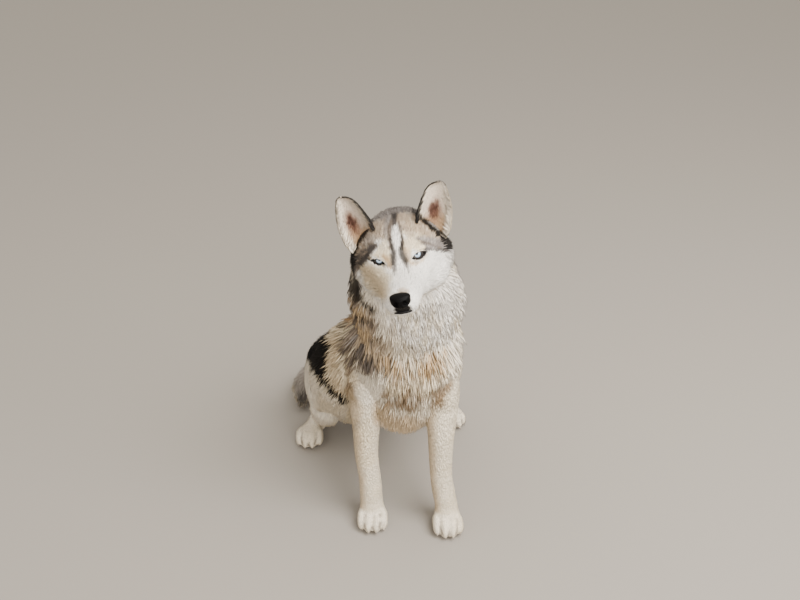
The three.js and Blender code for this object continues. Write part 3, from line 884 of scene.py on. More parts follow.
def stroke(points, line, edge, rough):
    # Mask of a brush stroke on the dog; each stop of its line is x, y, z and radius in mm.
    line = np.asarray(line, float)
    if len(line) == 1:
        line = np.vstack([line, line + [0, 0, 0.01, 0]])
    distance, share = nearLine(points, line[:, :3])
    radius = np.interp(share, np.linspace(0, 1, len(line)), line[:, 3])
    return 1 - ramp(distance + rough, radius - edge / 2, radius + edge / 2)


# Each point of the coat has its place on the photo by the camera. The markings are in the mesh.
photo = {"wide": 800, "high": 600, "through": (30, 90)}  # pixels, and mm of coat still seen through


def placeOnPhoto():
    # Pixel of each point of the coat, mm per pixel there, and 1 where the camera sees it.
    shown = fields["where"]
    tree = BVHTree.FromPolygons(shown.tolist(), [tuple(face.vertices) for face in skin.data.polygons])
    start = np.array(head["eyesAt"]) + np.array(cameraView["fromEyes"])
    down = math.radians(cameraView["down"])
    away = shown - start
    depth = away @ np.array([0, math.cos(down), -math.sin(down)])
    zoom = cameraView["lens"] / cameraView["sensor"] * photo["wide"]
    u = photo["wide"] / 2 + zoom * away[:, 0] / depth
    v = photo["high"] / 2 - zoom * (away @ np.array([0, math.sin(down), math.cos(down)])) / depth
    length = np.linalg.norm(away, axis=1)
    first = length.copy()
    origin = Vector(start)
    for i, way in enumerate(away):
        hit = tree.ray_cast(origin, Vector(way))
        if hit[0] is not None:
            first[i] = hit[3]
    return np.stack([u, v], 1), depth / zoom, 1 - ramp(length - first, *photo["through"])


pixels, perPixel, seen = placeOnPhoto()


def photoMask(stops, edge, rough):
    # Three numbers a stop: a brush stroke (pixel, radius in mm). Two: an area's outline.
    stops = np.asarray(stops, float)
    if stops.shape[1] == 2:
        distance = np.full(len(pixels), 1e9)
        inside = np.zeros(len(pixels), bool)
        for a, b in zip(stops, np.roll(stops, -1, axis=0)):
            ab = b - a
            f = np.clip((pixels - a) @ ab / (ab @ ab), 0, 1)
            distance = np.minimum(distance, np.linalg.norm(pixels - a - f[:, None] * ab, axis=1))
            crosses = (a[1] > pixels[:, 1]) != (b[1] > pixels[:, 1])
            inside ^= crosses & (pixels[:, 0] < ab[0] * (pixels[:, 1] - a[1]) / (ab[1] or 1e-9) + a[0])
        out = np.where(inside, -distance, distance) * perPixel
        return seen * (1 - ramp(out + rough, -edge / 2, edge / 2))
    stops = alongRows(stops, np.linspace(0, 1, 4 * len(stops)))
    flat = np.c_[pixels, np.zeros(len(pixels))]
    distance, share = nearLine(flat, np.c_[stops[:, :2], np.zeros(len(stops))])
    radius = np.interp(share, np.linspace(0, 1, len(stops)), stops[:, 2])
    return seen * (1 - ramp(distance * perPixel + rough, radius - edge / 2, radius + edge / 2))


def lay(colour, mask, shade, strength=1.0):
    mask = (np.clip(mask, 0, 1) * strength)[:, None]
    return colour * (1 - mask) + shades[shade] * mask


# A row of either kind is its shade, its strength, its soft edge in mm and its stops.


def layByPhoto(colour, strokes, rough):
    for shade, strength, edge, stops in strokes:
        colour = lay(colour, photoMask(stops, edge, rough * min(1, edge / 12)), shade, strength)
    return colour


def layOnDog(colour, points, strokes, rough):
    for shade, strength, edge, line in strokes:
        colour = lay(colour, stroke(points, line, edge, rough), shade, strength)
    return colour


# On the dog: the back is dark, darkest along the spine, and a black saddle comes down each flank.
backStrokes = [
    ("slate", 1.0, 56, [
        (-14, 200, 480, 85), (-30, 275, 395, 110), (-62, 360, 280, 110), (-90, 440, 150, 70),
    ]),
    ("black", 0.95, 26, [(10, 300, 385, 64), (82, 265, 340, 58), (116, 226, 290, 38), (112, 186, 246, 12)]),
    ("black", 0.95, 26, [(-20, 300, 385, 64), (-105, 268, 345, 60), (-170, 232, 300, 48)]),
    ("slate", 0.95, 50, [(-70, 400, 250, 80), (-140, 356, 246, 66)]),
    ("black", 0.95, 50, [(-120, 310, 300, 40), (-176, 332, 226, 42)]),
    ("slate", 0.95, 50, [(-40, 392, 250, 66), (36, 378, 244, 60), (74, 372, 240, 40)]),
    ("black", 1.0, 40, [(-8, 215, 470, 46), (-30, 315, 390, 60), (-62, 410, 275, 56), (-90, 460, 145, 36)]),
]
# By the photo: the right flank with its saddle, then the chest and belly.
bodyStrokes = [
    ("cream", 1.0, 16, [
        (338, 304), (346, 306), (346, 330), (344, 350), (345, 380), (350, 404), (340, 402), (326, 392),
        (314, 378), (318, 345), (326, 322),
    ]),
    ("sand", 0.55, 22, [(334, 318, 6), (334, 345, 10), (332, 372, 9), (340, 392, 7)]),
    ("brown", 0.9, 12, [
        (346, 330), (353, 345), (354, 366), (352, 384), (358, 404), (352, 409), (345, 396), (342, 370),
        (341, 348),
    ]),
    ("smoke", 0.7, 10, [(347, 382, 5), (352, 397, 6), (356, 408, 5)]),
    ("smoke", 0.8, 12, [(346, 334, 8), (348, 356, 9), (347, 376, 7)]),
    ("slate", 0.85, 6, [(341, 310, 3), (342, 322, 5), (342, 336, 5.4), (341, 350, 4), (341, 362, 2)]),
    ("ivory", 1.0, 8, [
        (305, 352), (296, 362), (294, 390), (300, 408), (312, 424), (348, 424), (346, 408), (333, 398),
        (321, 385), (313, 372), (306, 358),
    ]),
    ("cream", 0.6, 18, [(322, 402, 16), (336, 412, 14)]),
    ("black", 1.0, 6, [
        (336, 306), (329, 322), (328, 331), (325, 339), (325, 352), (323, 368), (323, 377), (330, 386),
        (338, 394), (346, 401), (347, 405), (340, 404), (331, 397), (321, 386), (314, 375), (309, 364),
        (304, 352), (298, 340), (304, 326), (318, 312),
    ]),
    ("ivory", 0.9, 16, [(352, 366), (370, 368), (386, 380), (386, 394), (372, 408), (358, 402), (352, 386)]),
    # The brown arcs on the chest: partly brown hair, partly painted shade under the locks above them.
    ("brown", 0.9, 20, [(383, 390), (400, 385), (414, 387), (424, 394), (420, 404), (404, 410), (384, 408)]),
    ("brown", 0.85, 7, [(384, 394, 4), (396, 390, 5), (408, 391, 5), (416, 396, 4)]),
    ("brown", 0.6, 7, [(380, 402, 3), (390, 406, 4), (402, 404, 4)]),
    ("ivory", 0.7, 5, [(388, 399, 3), (398, 398, 3)]),
    ("ivory", 0.7, 5, [(411, 399, 2.6), (414, 394, 2.6)]),
    ("brown", 0.85, 24, [(430, 390), (440, 381), (452, 380), (450, 394), (442, 406), (432, 408)]),
    ("brown", 0.6, 6, [(432, 394, 3), (440, 386, 3.4), (449, 384, 2.6)]),
    ("brown", 0.6, 6, [(434, 404, 3), (441, 398, 3.4)]),
    # Painted shade: the belly under the chest, between the forelegs, darker in shadow.
    ("sand", 0.8, 30, [(384, 416, 18), (398, 424, 20), (414, 426, 18)]),
    ("cream", 0.7, 20, [(356, 420, 12), (362, 440, 14), (366, 460, 14)]),
    # Painted shade: the inside of the right elbow.
    ("grey", 0.5, 10, [(353, 404, 5), (358, 416, 5), (356, 426, 3)]),
]


def paintBody(colour, f, coarse, fine):
    rough = raggedEdge("body", coarse, fine)
    return layByPhoto(layOnDog(colour, f["where"], backStrokes, rough), bodyStrokes, rough)


# On the dog: the nape, black along its middle.
napeStrokes = [
    ("slate", 1.0, 60, [(-8, 100, 735, 60), (-8, 160, 680, 66), (-2, 182, 560, 84), (6, 206, 470, 88)]),
    ("black", 0.85, 36, [(-8, 180, 650, 30), (0, 205, 560, 36), (0, 225, 470, 40)]),
]
# By the photo: the band of darker locks under the ruff, the ruff, and the fringe of its right side.
bandStrokes = [
    ("cream", 0.8, 14, [(392, 382, 12), (408, 382, 14), (424, 380, 13), (438, 374, 10)]),
    ("sand", 0.9, 12, [
        (386, 362, 8), (396, 369, 14), (408, 370, 14), (420, 369, 13), (432, 364, 12), (442, 357, 8),
    ]),
    ("tan", 0.5, 8, [(388, 362, 5), (393, 368, 7), (395, 377, 6)]),
    ("tan", 0.5, 9, [(434, 355, 6), (437, 361, 7), (432, 368, 7)]),
    ("tan", 0.5, 9, [(402, 372, 6), (414, 372, 7), (424, 370, 6)]),
    ("slate", 0.7, 5, [(388, 360, 3), (390, 366, 3)]),
]
neckStrokes = [
    ("fawn", 0.95, 14, [
        (343, 298), (352, 286), (361, 301), (375, 312), (383, 326), (387, 344), (389, 364), (378, 372),
        (362, 367), (350, 350), (345, 325),
    ]),
    ("smoke", 0.7, 12, [(346, 318, 6), (347, 338, 8), (349, 356, 8), (353, 368, 6)]),
    ("ivory", 1.0, 16, [
        (364, 300), (378, 316), (386, 336), (389, 356), (392, 374), (430, 378), (456, 366), (472, 340),
        (470, 300), (462, 276), (440, 270), (400, 286), (366, 286),
    ]),
    ("white", 0.7, 24, [
        (376, 300), (392, 322), (400, 350), (430, 356), (452, 344), (464, 310), (462, 276), (440, 270),
        (400, 286),
    ]),
    ("grey", 0.45, 12, [(452, 296, 6), (456, 312, 6), (457, 322, 5)]),
    ("grey", 0.4, 12, [(457, 340, 5), (460, 354, 6), (460, 364, 4)]),
    ("cream", 0.9, 7, [(454, 322, 4), (461, 328, 6), (466, 332, 4)]),
    ("fawn", 0.6, 12, [(380, 332, 5), (386, 345, 6), (390, 358, 5)]),
]
fringeStrokes = [
    ("tan", 0.85, 6, [(349, 292, 5), (347, 300, 7), (346, 310, 7), (348, 319, 5)]),
    ("sand", 0.9, 5, [(355, 309, 3), (364, 313, 3.4), (369, 316, 2)]),
    ("sand", 0.85, 6, [(350, 324, 4), (358, 327, 4.4), (368, 328, 3)]),
    ("sand", 0.85, 6, [(354, 335, 4), (364, 333, 4.4), (372, 336, 3)]),
    ("sand", 0.8, 6, [(360, 342, 4), (370, 345, 4.4), (378, 347, 3)]),
    ("black", 0.92, 6, [
        (349, 264, 8), (350, 279, 7.4), (354, 291, 7), (360, 300, 7), (367, 306, 5.4), (372, 311, 3.4),
    ]),
    ("black", 0.85, 4, [(349, 302, 2.4), (353, 306, 3.4)]),
    ("black", 0.85, 4, [(350, 315, 2.4), (357, 318, 4), (367, 319, 4), (372, 323, 3)]),
    ("slate", 0.85, 4, [(368, 322, 3), (375, 327, 3.4), (382, 323, 1.6)]),
    ("smoke", 0.8, 8, [(377, 331, 4), (381, 339, 4.6), (377, 346, 3)]),
    ("slate", 0.85, 8, [(351, 338, 3), (355, 347, 5), (361, 356, 7), (366, 364, 6)]),
    ("smoke", 0.8, 7, [(366, 367, 4), (374, 371, 4), (382, 369, 3)]),
]


# Mixed hair, by the photo: the stops and soft edge of an area, then its clumps or streaks. Each
# has a shade and strength, the noise's stretch upwards, its size in mm and seed, how much of the
# fine noise joins it, and the part of it that shows.
mixedHair = [
    ([(350, 300, 12), (354, 325, 20), (366, 345, 18), (376, 362, 10)], 24, [
        ("sand", 0.8, 1.5, 20, 4.0, 0.4, (-0.1, 0.3)), ("slate", 0.8, 1.7, 17, 9.0, 0.4, (0.25, 0.5)),
    ]),
    # On the bib: cream locks, and brown streaks that are partly grey-brown hair, partly painted shade between
    # the locks.
    ([(408, 330, 60), (414, 356, 60)], 40, [
        ("cream", 0.6, 0.3, 11, 2.0, 0, (0.0, 0.6)), ("brown", 0.4, 0.25, 8, 7.0, 0, (0.4, 0.8)),
    ]),
]


def paintNeck(colour, f, coarse, fine):
    p = f["where"]
    rough = raggedEdge("neck", coarse, fine)
    behind = np.maximum(ramp(p[:, 1] + rough, 60, 100), ramp(p[:, 2], 600, 640))
    colour = lay(colour, inRegion(f, "neck") * behind, "grey")
    colour = layOnDog(colour, p, napeStrokes, rough)
    colour = layByPhoto(colour, neckStrokes, rough)
    for stops, edge, clumps in mixedHair:
        area = photoMask(stops, edge, rough)
        for shade, strength, stretch, size, seed, fineShare, shown in clumps:
            noise = noiseAt(p * [1, 1, stretch], size, seed) + fineShare * fine
            colour = lay(colour, area * ramp(noise, *shown), shade, strength)
    colour = layByPhoto(colour, bandStrokes, rough)
    return layByPhoto(colour, fringeStrokes, 0.7 * rough)


# The black line under the left ear; it runs over the ear's own hair too.
underEar = [
    (412, 205, 3.8), (416, 212, 4.2), (422, 218.4, 4.2), (430, 225.4, 4.4), (438, 232, 4.8), (444, 237, 5.4),
    (449, 241.6, 6.4), (450.5, 248, 5),
]
# By the photo: the dark cap, then the brows, the eyes' surrounds and the lines of the forehead.
capStrokes = [
    ("fawn", 0.97, 8, [
        (366, 222), (371, 212), (384, 204), (396, 200), (412, 202), (416, 211), (424, 218), (436, 228),
        (446, 236), (451, 245), (440, 247), (428, 247), (419, 245), (412, 241), (405, 236), (400, 228),
        (394, 222), (389, 230), (388, 240), (380, 240), (373, 243), (363, 248), (352, 252), (357, 242),
        (364, 232),
    ]),
    ("grey", 0.95, 12, [(372, 216, 12), (380, 212, 14), (388, 212, 13), (391, 222, 5)]),
    ("grey", 0.9, 10, [(398, 207, 9), (405, 206, 10), (412, 208, 8)]),
    ("smoke", 0.6, 10, [(376, 209, 6), (384, 207, 8), (392, 205, 8)]),
    ("grey", 0.7, 8, [(387, 222, 6), (386, 230, 5), (386, 238, 4)]),
    ("grey", 0.6, 10, [(368, 232, 6), (364, 243, 7), (374, 238, 6)]),
    ("sand", 0.35, 10, [(408, 224, 7), (416, 227, 8), (426, 232, 7)]),
    ("cream", 0.6, 8, [(404, 233, 4), (411, 236, 6), (420, 236, 4)]),
    ("grey", 0.95, 5, [
        (414, 239), (424, 236), (434, 237), (442, 240), (450, 245), (450, 251), (440, 251), (430, 250),
        (424, 248), (419, 244),
    ]),
    ("smoke", 0.97, 6, [
        (370, 242), (378, 242), (378.5, 248), (373, 252), (370.5, 257), (366, 261), (362, 267), (357, 272),
        (350, 268), (349, 258), (353, 249), (363, 245),
    ]),
    ("slate", 0.97, 8, [(376, 245, 5), (370, 250, 8), (363, 257, 10), (357, 264, 11)]),
]
faceStrokes = [
    ("cream", 0.95, 7, [
        (378, 244), (386, 239), (390, 246), (391, 256), (391, 266), (385, 263), (379, 257), (371, 257),
        (374, 252), (376, 249),
    ]),
    ("smoke", 0.8, 3, [(419, 240.6, 1.6), (426, 242.6, 2.2), (434, 245.6, 2.4), (441, 248, 2.4)]),
    ("slate", 0.9, 3, [(424, 248.8, 1.6), (432, 250, 2.2), (441, 250.4, 2.6), (449, 251, 4)]),
    ("fawn", 0.6, 3, [(354, 255, 2.4), (359, 250, 2.6), (364, 247, 2.4)]),
    ("fawn", 0.5, 3, [(356, 262, 1.8), (361, 256, 2.2), (366, 252, 1.8)]),
    ("black", 0.97, 4, [
        (371.5, 213, 2.8), (369.5, 223, 3.8), (363, 234, 4.4), (356, 242.5, 6.6), (351, 250, 8),
        (349.5, 259, 8), (351, 267, 7),
    ]),
    ("smoke", 0.85, 8, [(353, 269, 9), (353, 280, 8), (356, 291, 7)]),
    ("black", 0.9, 6, [(350.5, 266, 7), (350.5, 278, 6.4), (353, 289, 6.4), (358, 297, 7), (364, 303, 7)]),
    ("ivory", 0.4, 8, [(382, 247, 4), (386, 245, 4)]),
    ("sand", 0.8, 6, [(383, 256, 4), (388, 259, 5), (389, 266, 5)]),
    ("tan", 0.55, 5, [(384, 258, 2), (387.6, 261, 3), (388.6, 267, 2.4)]),
    ("sand", 0.6, 3, [(378, 256, 1.6), (372, 255.6, 1.8), (369, 259, 1.6)]),
    ("cream", 0.95, 6, [
        (403, 239), (410, 237), (417, 241), (425, 247), (424, 250.5), (413, 249.5), (410, 253), (405, 251),
        (402, 245),
    ]),
    ("sand", 0.75, 7, [(407, 252, 5), (409, 260, 5), (415, 263.4, 5), (422, 261, 4), (427, 254, 3)]),
    # The right cheek and muzzle: cream and sand, partly the coat's colour, partly painted shade away from the
    # light.
    ("cream", 0.95, 14, [
        (360, 268), (370, 263), (384, 267), (390, 276), (391, 290), (384, 302), (372, 297), (362, 283),
    ]),
    ("sand", 0.45, 20, [(367, 272, 10), (375, 284, 11), (384, 296, 9)]),
    ("cream", 0.35, 14, [(426, 302, 8), (434, 302, 8)]),
    ("grey", 0.2, 10, [(433, 270, 4), (434, 282, 5)]),
    ("slate", 0.97, 4, [(393.5, 198, 6), (394, 210, 6), (394, 219, 5.4), (394.4, 227, 3)]),
    ("black", 0.6, 4, [(394, 208, 3), (394, 217, 3)]),
    ("white", 1.0, 2.6, [
        (394.5, 225.5, 1.6), (395, 230, 4.0), (395.4, 237, 5.8), (396.2, 244, 5.4), (397, 251, 3.8),
        (398, 259, 3.6), (399, 267, 5.4), (400, 278, 10),
    ]),
    ("smoke", 0.9, 3.4, [(390.8, 221, 3), (388.8, 231, 3.6), (389, 240, 3.6), (390.3, 248, 3.4)]),
    ("smoke", 0.9, 3, [(398.4, 222, 2.6), (400.6, 231, 3), (402.2, 239, 3), (401.8, 247, 3)]),
    ("smoke", 0.75, 7, [(391, 246, 4), (393, 256, 6), (392.6, 265, 6), (394, 273, 2)]),
    ("smoke", 0.7, 7, [(401, 246, 3), (404, 258, 6), (407, 265, 5), (409, 271, 2)]),
    ("black", 0.8, 5, [
        (389.8, 239, 1.6), (391.4, 247, 3.2), (393.4, 254, 4), (392.8, 261, 4.2), (394.2, 267, 2.4),
        (394.4, 271, 0.6),
    ]),
    ("black", 0.8, 5, [
        (401.4, 236, 1.6), (401.4, 244, 2.8), (400, 251, 3.6), (402.6, 256.4, 4.2), (405.6, 261, 3.6),
        (407, 267, 1),
    ]),
    ("fawn", 0.8, 6, [(399, 290.5, 3.4), (403, 289.5, 5.4), (407, 291, 3.4)]),
    ("black", 0.98, 3, underEar),
    ("grey", 0.55, 8, [(454, 251, 4), (457, 261, 5), (459, 272, 4)]),
]
# The middle line of the crown, on the dog.
crownStrokes = [("black", 0.6, 9, [(0, 40, 700, 6), (0, 90, 700, 12), (0, 120, 690, 18)])]


def paintHead(colour, f, coarse, fine):
    local = f["local"]
    x, y, z = local.T
    rough = raggedEdge("head", coarse, fine)
    painted = np.tile(shades["white"], (len(local), 1))
    # The cap, where the photo doesn't show it: grey behind, slate at the back of the head.
    painted = lay(painted, ramp(y + 2 * rough, 30, 56) * ramp(z + rough, -2, 18), "grey", 0.95)
    sides = ramp(np.abs(x), 62, 84) * (1 - ramp(z, -20, 6))
    painted = lay(painted, ramp(y + 2 * rough, 84, 112) * (1 - sides), "slate")
    painted = layOnDog(painted, f["where"], crownStrokes, rough)
    painted = layByPhoto(painted, capStrokes, rough)
    # The cap's hairs are banded, so darker and paler streaks run through it.
    banded = noiseAt(local * [1, 0.22, 0.3], 3.2, 6.0)
    cap = photoMask(capStrokes[0][3], 10, rough)
    painted = lay(painted, cap * ramp(banded, 0.05, 0.6), "smoke", 0.3)
    painted = lay(painted, cap * ramp(-banded, 0.2, 0.7), "ivory", 0.16)
    painted = layByPhoto(painted, faceStrokes, rough)
    # Under the jaw the coat is painted cream as shade beneath the head, and the skin under the nose is black.
    painted = lay(painted, ramp(-z, 62, 78) * ramp(y, -70, -30), "cream", 0.5)
    painted = lay(painted, lipPatch(local), "black")
    isHead = inRegion(f, "head") & (earSide == 0)
    return np.where(isHead[:, None], painted, colour)


def paintEars(colour, f):
    u, t = earWhere[:, 1] * earSide, earWhere[:, 0]
    isEar = earSide != 0
    inside = earWhere[:, 2] > 0.5
    centre = np.where(earSide > 0, 0.16, 0.36)
    wool = noiseAt(f["points"], 7, 3.0)
    # Inside: pale wool, cream at the outer edge, tan low down and a dark hollow.
    painted = np.tile(shades["bone"], (len(u), 1))
    painted = lay(painted, ramp(np.abs(u) + 0.06 * wool, 0.45, 0.9), "ivory", 0.6)
    painted = lay(painted, (1 - ramp(t + 0.05 * wool, 0.2, 0.5)) * (1 - ramp(u, 0.6, 1.0)), "tan", 0.8)
    long = np.where(t > 0.46, 0.21, 0.3)
    core = np.exp(-(((u - centre) / 0.46) ** 2)) * np.exp(-(((t - 0.46) / long) ** 2))
    painted = lay(painted, ramp(core + 0.1 * wool, 0.1, 0.95), "rust", 0.85)
    painted = lay(painted, ramp(core + 0.14 * wool, 0.45, 1.0), "umber", 0.9)
    # Black rim on the side of the crown and round the tip, wider to the base.
    edge = 0.9 + 0.05 * t + 0.03 * wool
    painted = lay(painted, ramp(-u, edge - 0.05, edge + 0.02), "black", 0.95)
    painted = lay(painted, ramp(u, edge - 0.04, edge + 0.04) * ramp(t, 0.25, 0.5), "smoke", 0.7)
    painted = lay(painted, ramp(t + 0.012 * wool, 0.965, 0.985) * (1 - ramp(u, 0.4, 0.9)), "black", 0.9)
    painted = lay(painted, (1 - ramp(t, 0.16, 0.3)) * ramp(-u + 0.1 * wool, 0.3, 0.7), "black", 0.9)
    # Outside: slate, with a black inner and a cream outer edge.
    outer = np.tile(shades["slate"], (len(u), 1))
    outer = lay(outer, ramp(-u + 0.1 * wool, 0.6, 0.95), "black", 0.9)
    outer = lay(outer, ramp(u + 0.05 * wool, 0.86, 0.97) * (1 - ramp(t, 0.8, 0.95)), "cream", 0.7)
    painted = np.where(inside[:, None], painted, outer)
    painted = lay(painted, photoMask(underEar, 3, 1.5 * wool), "black", 0.95)
    return np.where(isEar[:, None], painted, colour)


# Mm and seed of the two noises, the ground's share of cream in each region, the tail's dark
# upper side and tip, and the shade in a cleft between two toes: y, z and radius in the paw.
noises = {"coarse": (34, 1.0), "fine": (9, 5.0)}
creamShares = {"trunk": 1.0, "hind": 0.35, "fore": 0.4, "paw": 0.2}
tailDark = [(-100, 470, 120, 24), (-150, 540, 84, 20)]
tailTip = [(-236, 440, 44, 26)]
cleft = ((-12, 4, 3.4), (4, 22, 3.0), (26, 34, 1.6))


def paintTailAndLegs(colour, f, coarse, fine):
    p = f["where"]
    tail = inRegion(f, "tail")
    above = ramp(f["normals"][:, 2] + 0.3 * coarse, -0.35, 0.3) * tail
    colour = lay(colour, tail * 1.0, "cream")
    colour = lay(colour, above, "grey", 0.85)
    colour = lay(colour, above * stroke(p, tailDark, 30, 6 * fine), "slate", 0.8)
    colour = lay(colour, stroke(p, tailTip, 20, 6 * fine), "black", 0.7)
    # Painted shade darkens the forelegs' right sides, away from the light; the hind feet's backs are a little
    # darker.
    shadedLegs = inRegion(f, "fore") * ramp(-f["normals"][:, 0] + 0.2 * coarse, 0.1, 0.9)
    colour = lay(colour, shadedLegs, "sand", 0.5)
    low = inRegion(f, "hind") & (p[:, 2] < 90)
    colour = lay(colour, low * ramp(p[:, 1], 380, 450), "sand", 0.5)
    # Dust and shade in the clefts between the toes.
    for foot in allFeet:
        rotate = turnedAbout("z", foot["turn"])
        for share in paw["clefts"]:
            line = []
            for y, z, radius in cleft:
                place = rotate @ np.array([share * paw["wide"], y, z]) + [*foot["toe"], 0]
                line.append([*place, radius])
            colour = lay(colour, stroke(p, line, 3.5, 0.5 * fine), "smoke", 0.8)
    return colour


def makeColours(f):
    p = f["where"]
    coarse, fine = (noiseAt(p, *noises[name]) for name in ("coarse", "fine"))
    colour = np.tile(shades["ivory"], (len(p), 1))
    for name, strength in creamShares.items():
        colour = lay(colour, inRegion(f, name) * 1.0, "cream", strength)
    colour = lay(colour, ramp(noiseAt(p, 48, 3.0) + 0.3 * fine, -0.1, 0.8), "cream", 0.4)
    colour = paintBody(colour, f, coarse, fine)
    colour = paintNeck(colour, f, coarse, fine)
    colour = paintTailAndLegs(colour, f, coarse, fine)
    colour = paintHead(colour, f, coarse, fine)
    return paintEars(colour, f)


colours = makeColours(fields)
print("markings painted")


def storeOn(mesh, name, kind, values):
    attribute = mesh.attributes.new(name, kind, "POINT")
    slot = {"FLOAT": "value", "FLOAT_VECTOR": "vector", "FLOAT_COLOR": "color"}[kind]
    attribute.data.foreach_set(slot, np.asarray(values, float).ravel())


def eyeOpening(local):
    # 0 in the middle of an eye's opening, 1 on the lids' edge.
    least = np.full(len(local), 9.0)
    for s in eyeSides.values():
        across, inside = lidOpening(local, s)
        nearer = np.minimum(least, inside ** (1 / eye["round"]))
        least = np.where(across[:, 1] < 4, nearer, least)
    return least


def dressSkin(item):
    mesh = item.data
    mesh.name = "skin"
    hair = fields["hair"]
    # Bare skin at the lids, under the nose leather and on the lips.
    bare = np.maximum(1 - ramp(eyeOpening(fields["local"]), 1.2, 1.5), 1 - ramp(fields["noseAway"], 15, 18))
    distance, _ = nearLine(fields["local"], mouthLine())
    bare = np.maximum(np.maximum(bare, 1 - ramp(distance, 1.0, 2.2)), lipPatch(fields["local"]))
    breadth = coat["breadth"][0] + coat["breadth"][1] * hair
    density = coat["layers"] / (0.5 * breadth * hair * mm * mm) * (1 - bare)
    storeOn(mesh, "flow", "FLOAT_VECTOR", fields["flow"])
    storeOn(mesh, "hair", "FLOAT", hair * mm)
    storeOn(mesh, "breadth", "FLOAT", breadth * mm)
    storeOn(mesh, "density", "FLOAT", density)
    storeOn(mesh, "coat", "FLOAT_COLOR", np.c_[colours, np.ones(len(colours))])
    for face in mesh.polygons:
        face.use_smooth = True
    bpy.context.view_layer.objects.active = item
    item.select_set(True)
    mesh.uv_layers.new(name="OFBake")
    bpy.ops.object.mode_set(mode="EDIT")
    bpy.ops.mesh.select_all(action="SELECT")
    bpy.ops.uv.smart_project(angle_limit=math.radians(72), island_margin=0.004)
    bpy.ops.object.mode_set(mode="OBJECT")
    item.select_set(False)
    return density


density = dressSkin(skin)
print("skin unwrapped")

# Materials.


def newMaterial(name, roughness, **settings):
    material = bpy.data.materials.new(name)
    material.use_nodes = True
    tree = material.node_tree
    tree.nodes.clear()
    shader = addNode(tree, "ShaderNodeBsdfPrincipled", {"Roughness": roughness, **settings})
    addNode(tree, "ShaderNodeOutputMaterial", links={"Surface": shader.outputs["BSDF"]})
    return material, tree, shader


def furMaterial():
    # Guard hairs over wool: matt, darker at the roots where they shade each other, and
    # a little paler or darker from tuft to tuft, as the hairs are banded.
    material, tree, shader = newMaterial("guardHair", 0.7, **{"Specular IOR Level": 0.12})
    read = {
        name: addNode(tree, "ShaderNodeAttribute", {"attribute_name": name}).outputs
        for name in ("coat", "along", "tone", "lie")
    }
    roots = addNode(
        tree, "ShaderNodeMapRange", {"From Max": 0.65, "To Min": 0.62, "To Max": 1.0},
        {"Value": read["along"]["Fac"]},
    )
    tufts = addNode(
        tree, "ShaderNodeMapRange", {"To Min": 0.88, "To Max": 1.08}, {"Value": read["tone"]["Fac"]}
    )
    both = addNode(
        tree, "ShaderNodeMath", {"operation": "MULTIPLY"},
        {0: roots.outputs["Result"], 1: tufts.outputs["Result"]},
    )
    mixed = addNode(
        tree, "ShaderNodeVectorMath", {"operation": "SCALE"},
        {"Vector": read["coat"]["Color"], "Scale": both.outputs["Value"]},
    )
    # Light falls on the coat as a whole: each tuft's own normal leans to the skin's under it.
    own = addNode(tree, "ShaderNodeNewGeometry")
    soft = addNode(
        tree, "ShaderNodeVectorMath", {"operation": "MULTIPLY_ADD", 1: (1.8, 1.8, 1.8)},
        {0: read["lie"]["Vector"], 2: own.outputs["Normal"]},
    )
    unit = addNode(tree, "ShaderNodeVectorMath", {"operation": "NORMALIZE"}, {0: soft.outputs["Vector"]})
    tree.links.new(unit.outputs["Vector"], shader.inputs["Normal"])
    tree.links.new(mixed.outputs["Vector"], shader.inputs["Base Color"])
    return material


def hideMaterial():
    # Skin with its short underfur: the coat's own colours, matt, with the grain of hairs
    # about 1.5 mm apart, coarser than real ones so that it shows.
    material, tree, shader = newMaterial("underfur", 0.85, **{"Specular IOR Level": 0.15})
    colour = addNode(tree, "ShaderNodeAttribute", {"attribute_name": "coat"})
    place = addNode(tree, "ShaderNodeTexCoord")
    grain = addNode(
        tree, "ShaderNodeTexNoise", {"Scale": 650.0, "Detail": 3.0, "Roughness": 0.6},
        {"Vector": place.outputs["Object"]},
    )
    shade = addNode(
        tree, "ShaderNodeMapRange", {"From Min": 0.3, "From Max": 0.7, "To Min": 0.76, "To Max": 0.98},
        {"Value": grain.outputs["Fac"]},
    )
    mixed = addNode(
        tree, "ShaderNodeVectorMath", {"operation": "SCALE"},
        {"Vector": colour.outputs["Color"], "Scale": shade.outputs["Result"]},
    )
    bump = addNode(
        tree, "ShaderNodeBump", {"Strength": 0.5, "Distance": 0.0012}, {"Height": grain.outputs["Fac"]}
    )
    tree.links.new(mixed.outputs["Vector"], shader.inputs["Base Color"])
    tree.links.new(bump.outputs["Normal"], shader.inputs["Normal"])
    return material


fur = furMaterial()
hide = hideMaterial()
skin.data.materials.append(hide)

# Tufts: closed blades of three sides, laid on the skin by geometry nodes. A row is a place up
# the blade, its breadth and its lift; "stray" is how far chance turns each tuft.

blades = {
    "long": {
        "rows": ((0.0, 0.75, -0.12), (0.34, 1.0, 0.42), (0.68, 0.66, 0.8)), "thick": 0.16, "stray": 0.25,
    },
    "short": {"rows": ((0.0, 0.8, -0.1), (0.5, 0.85, 0.62)), "thick": 0.2, "stray": 0.14},
}


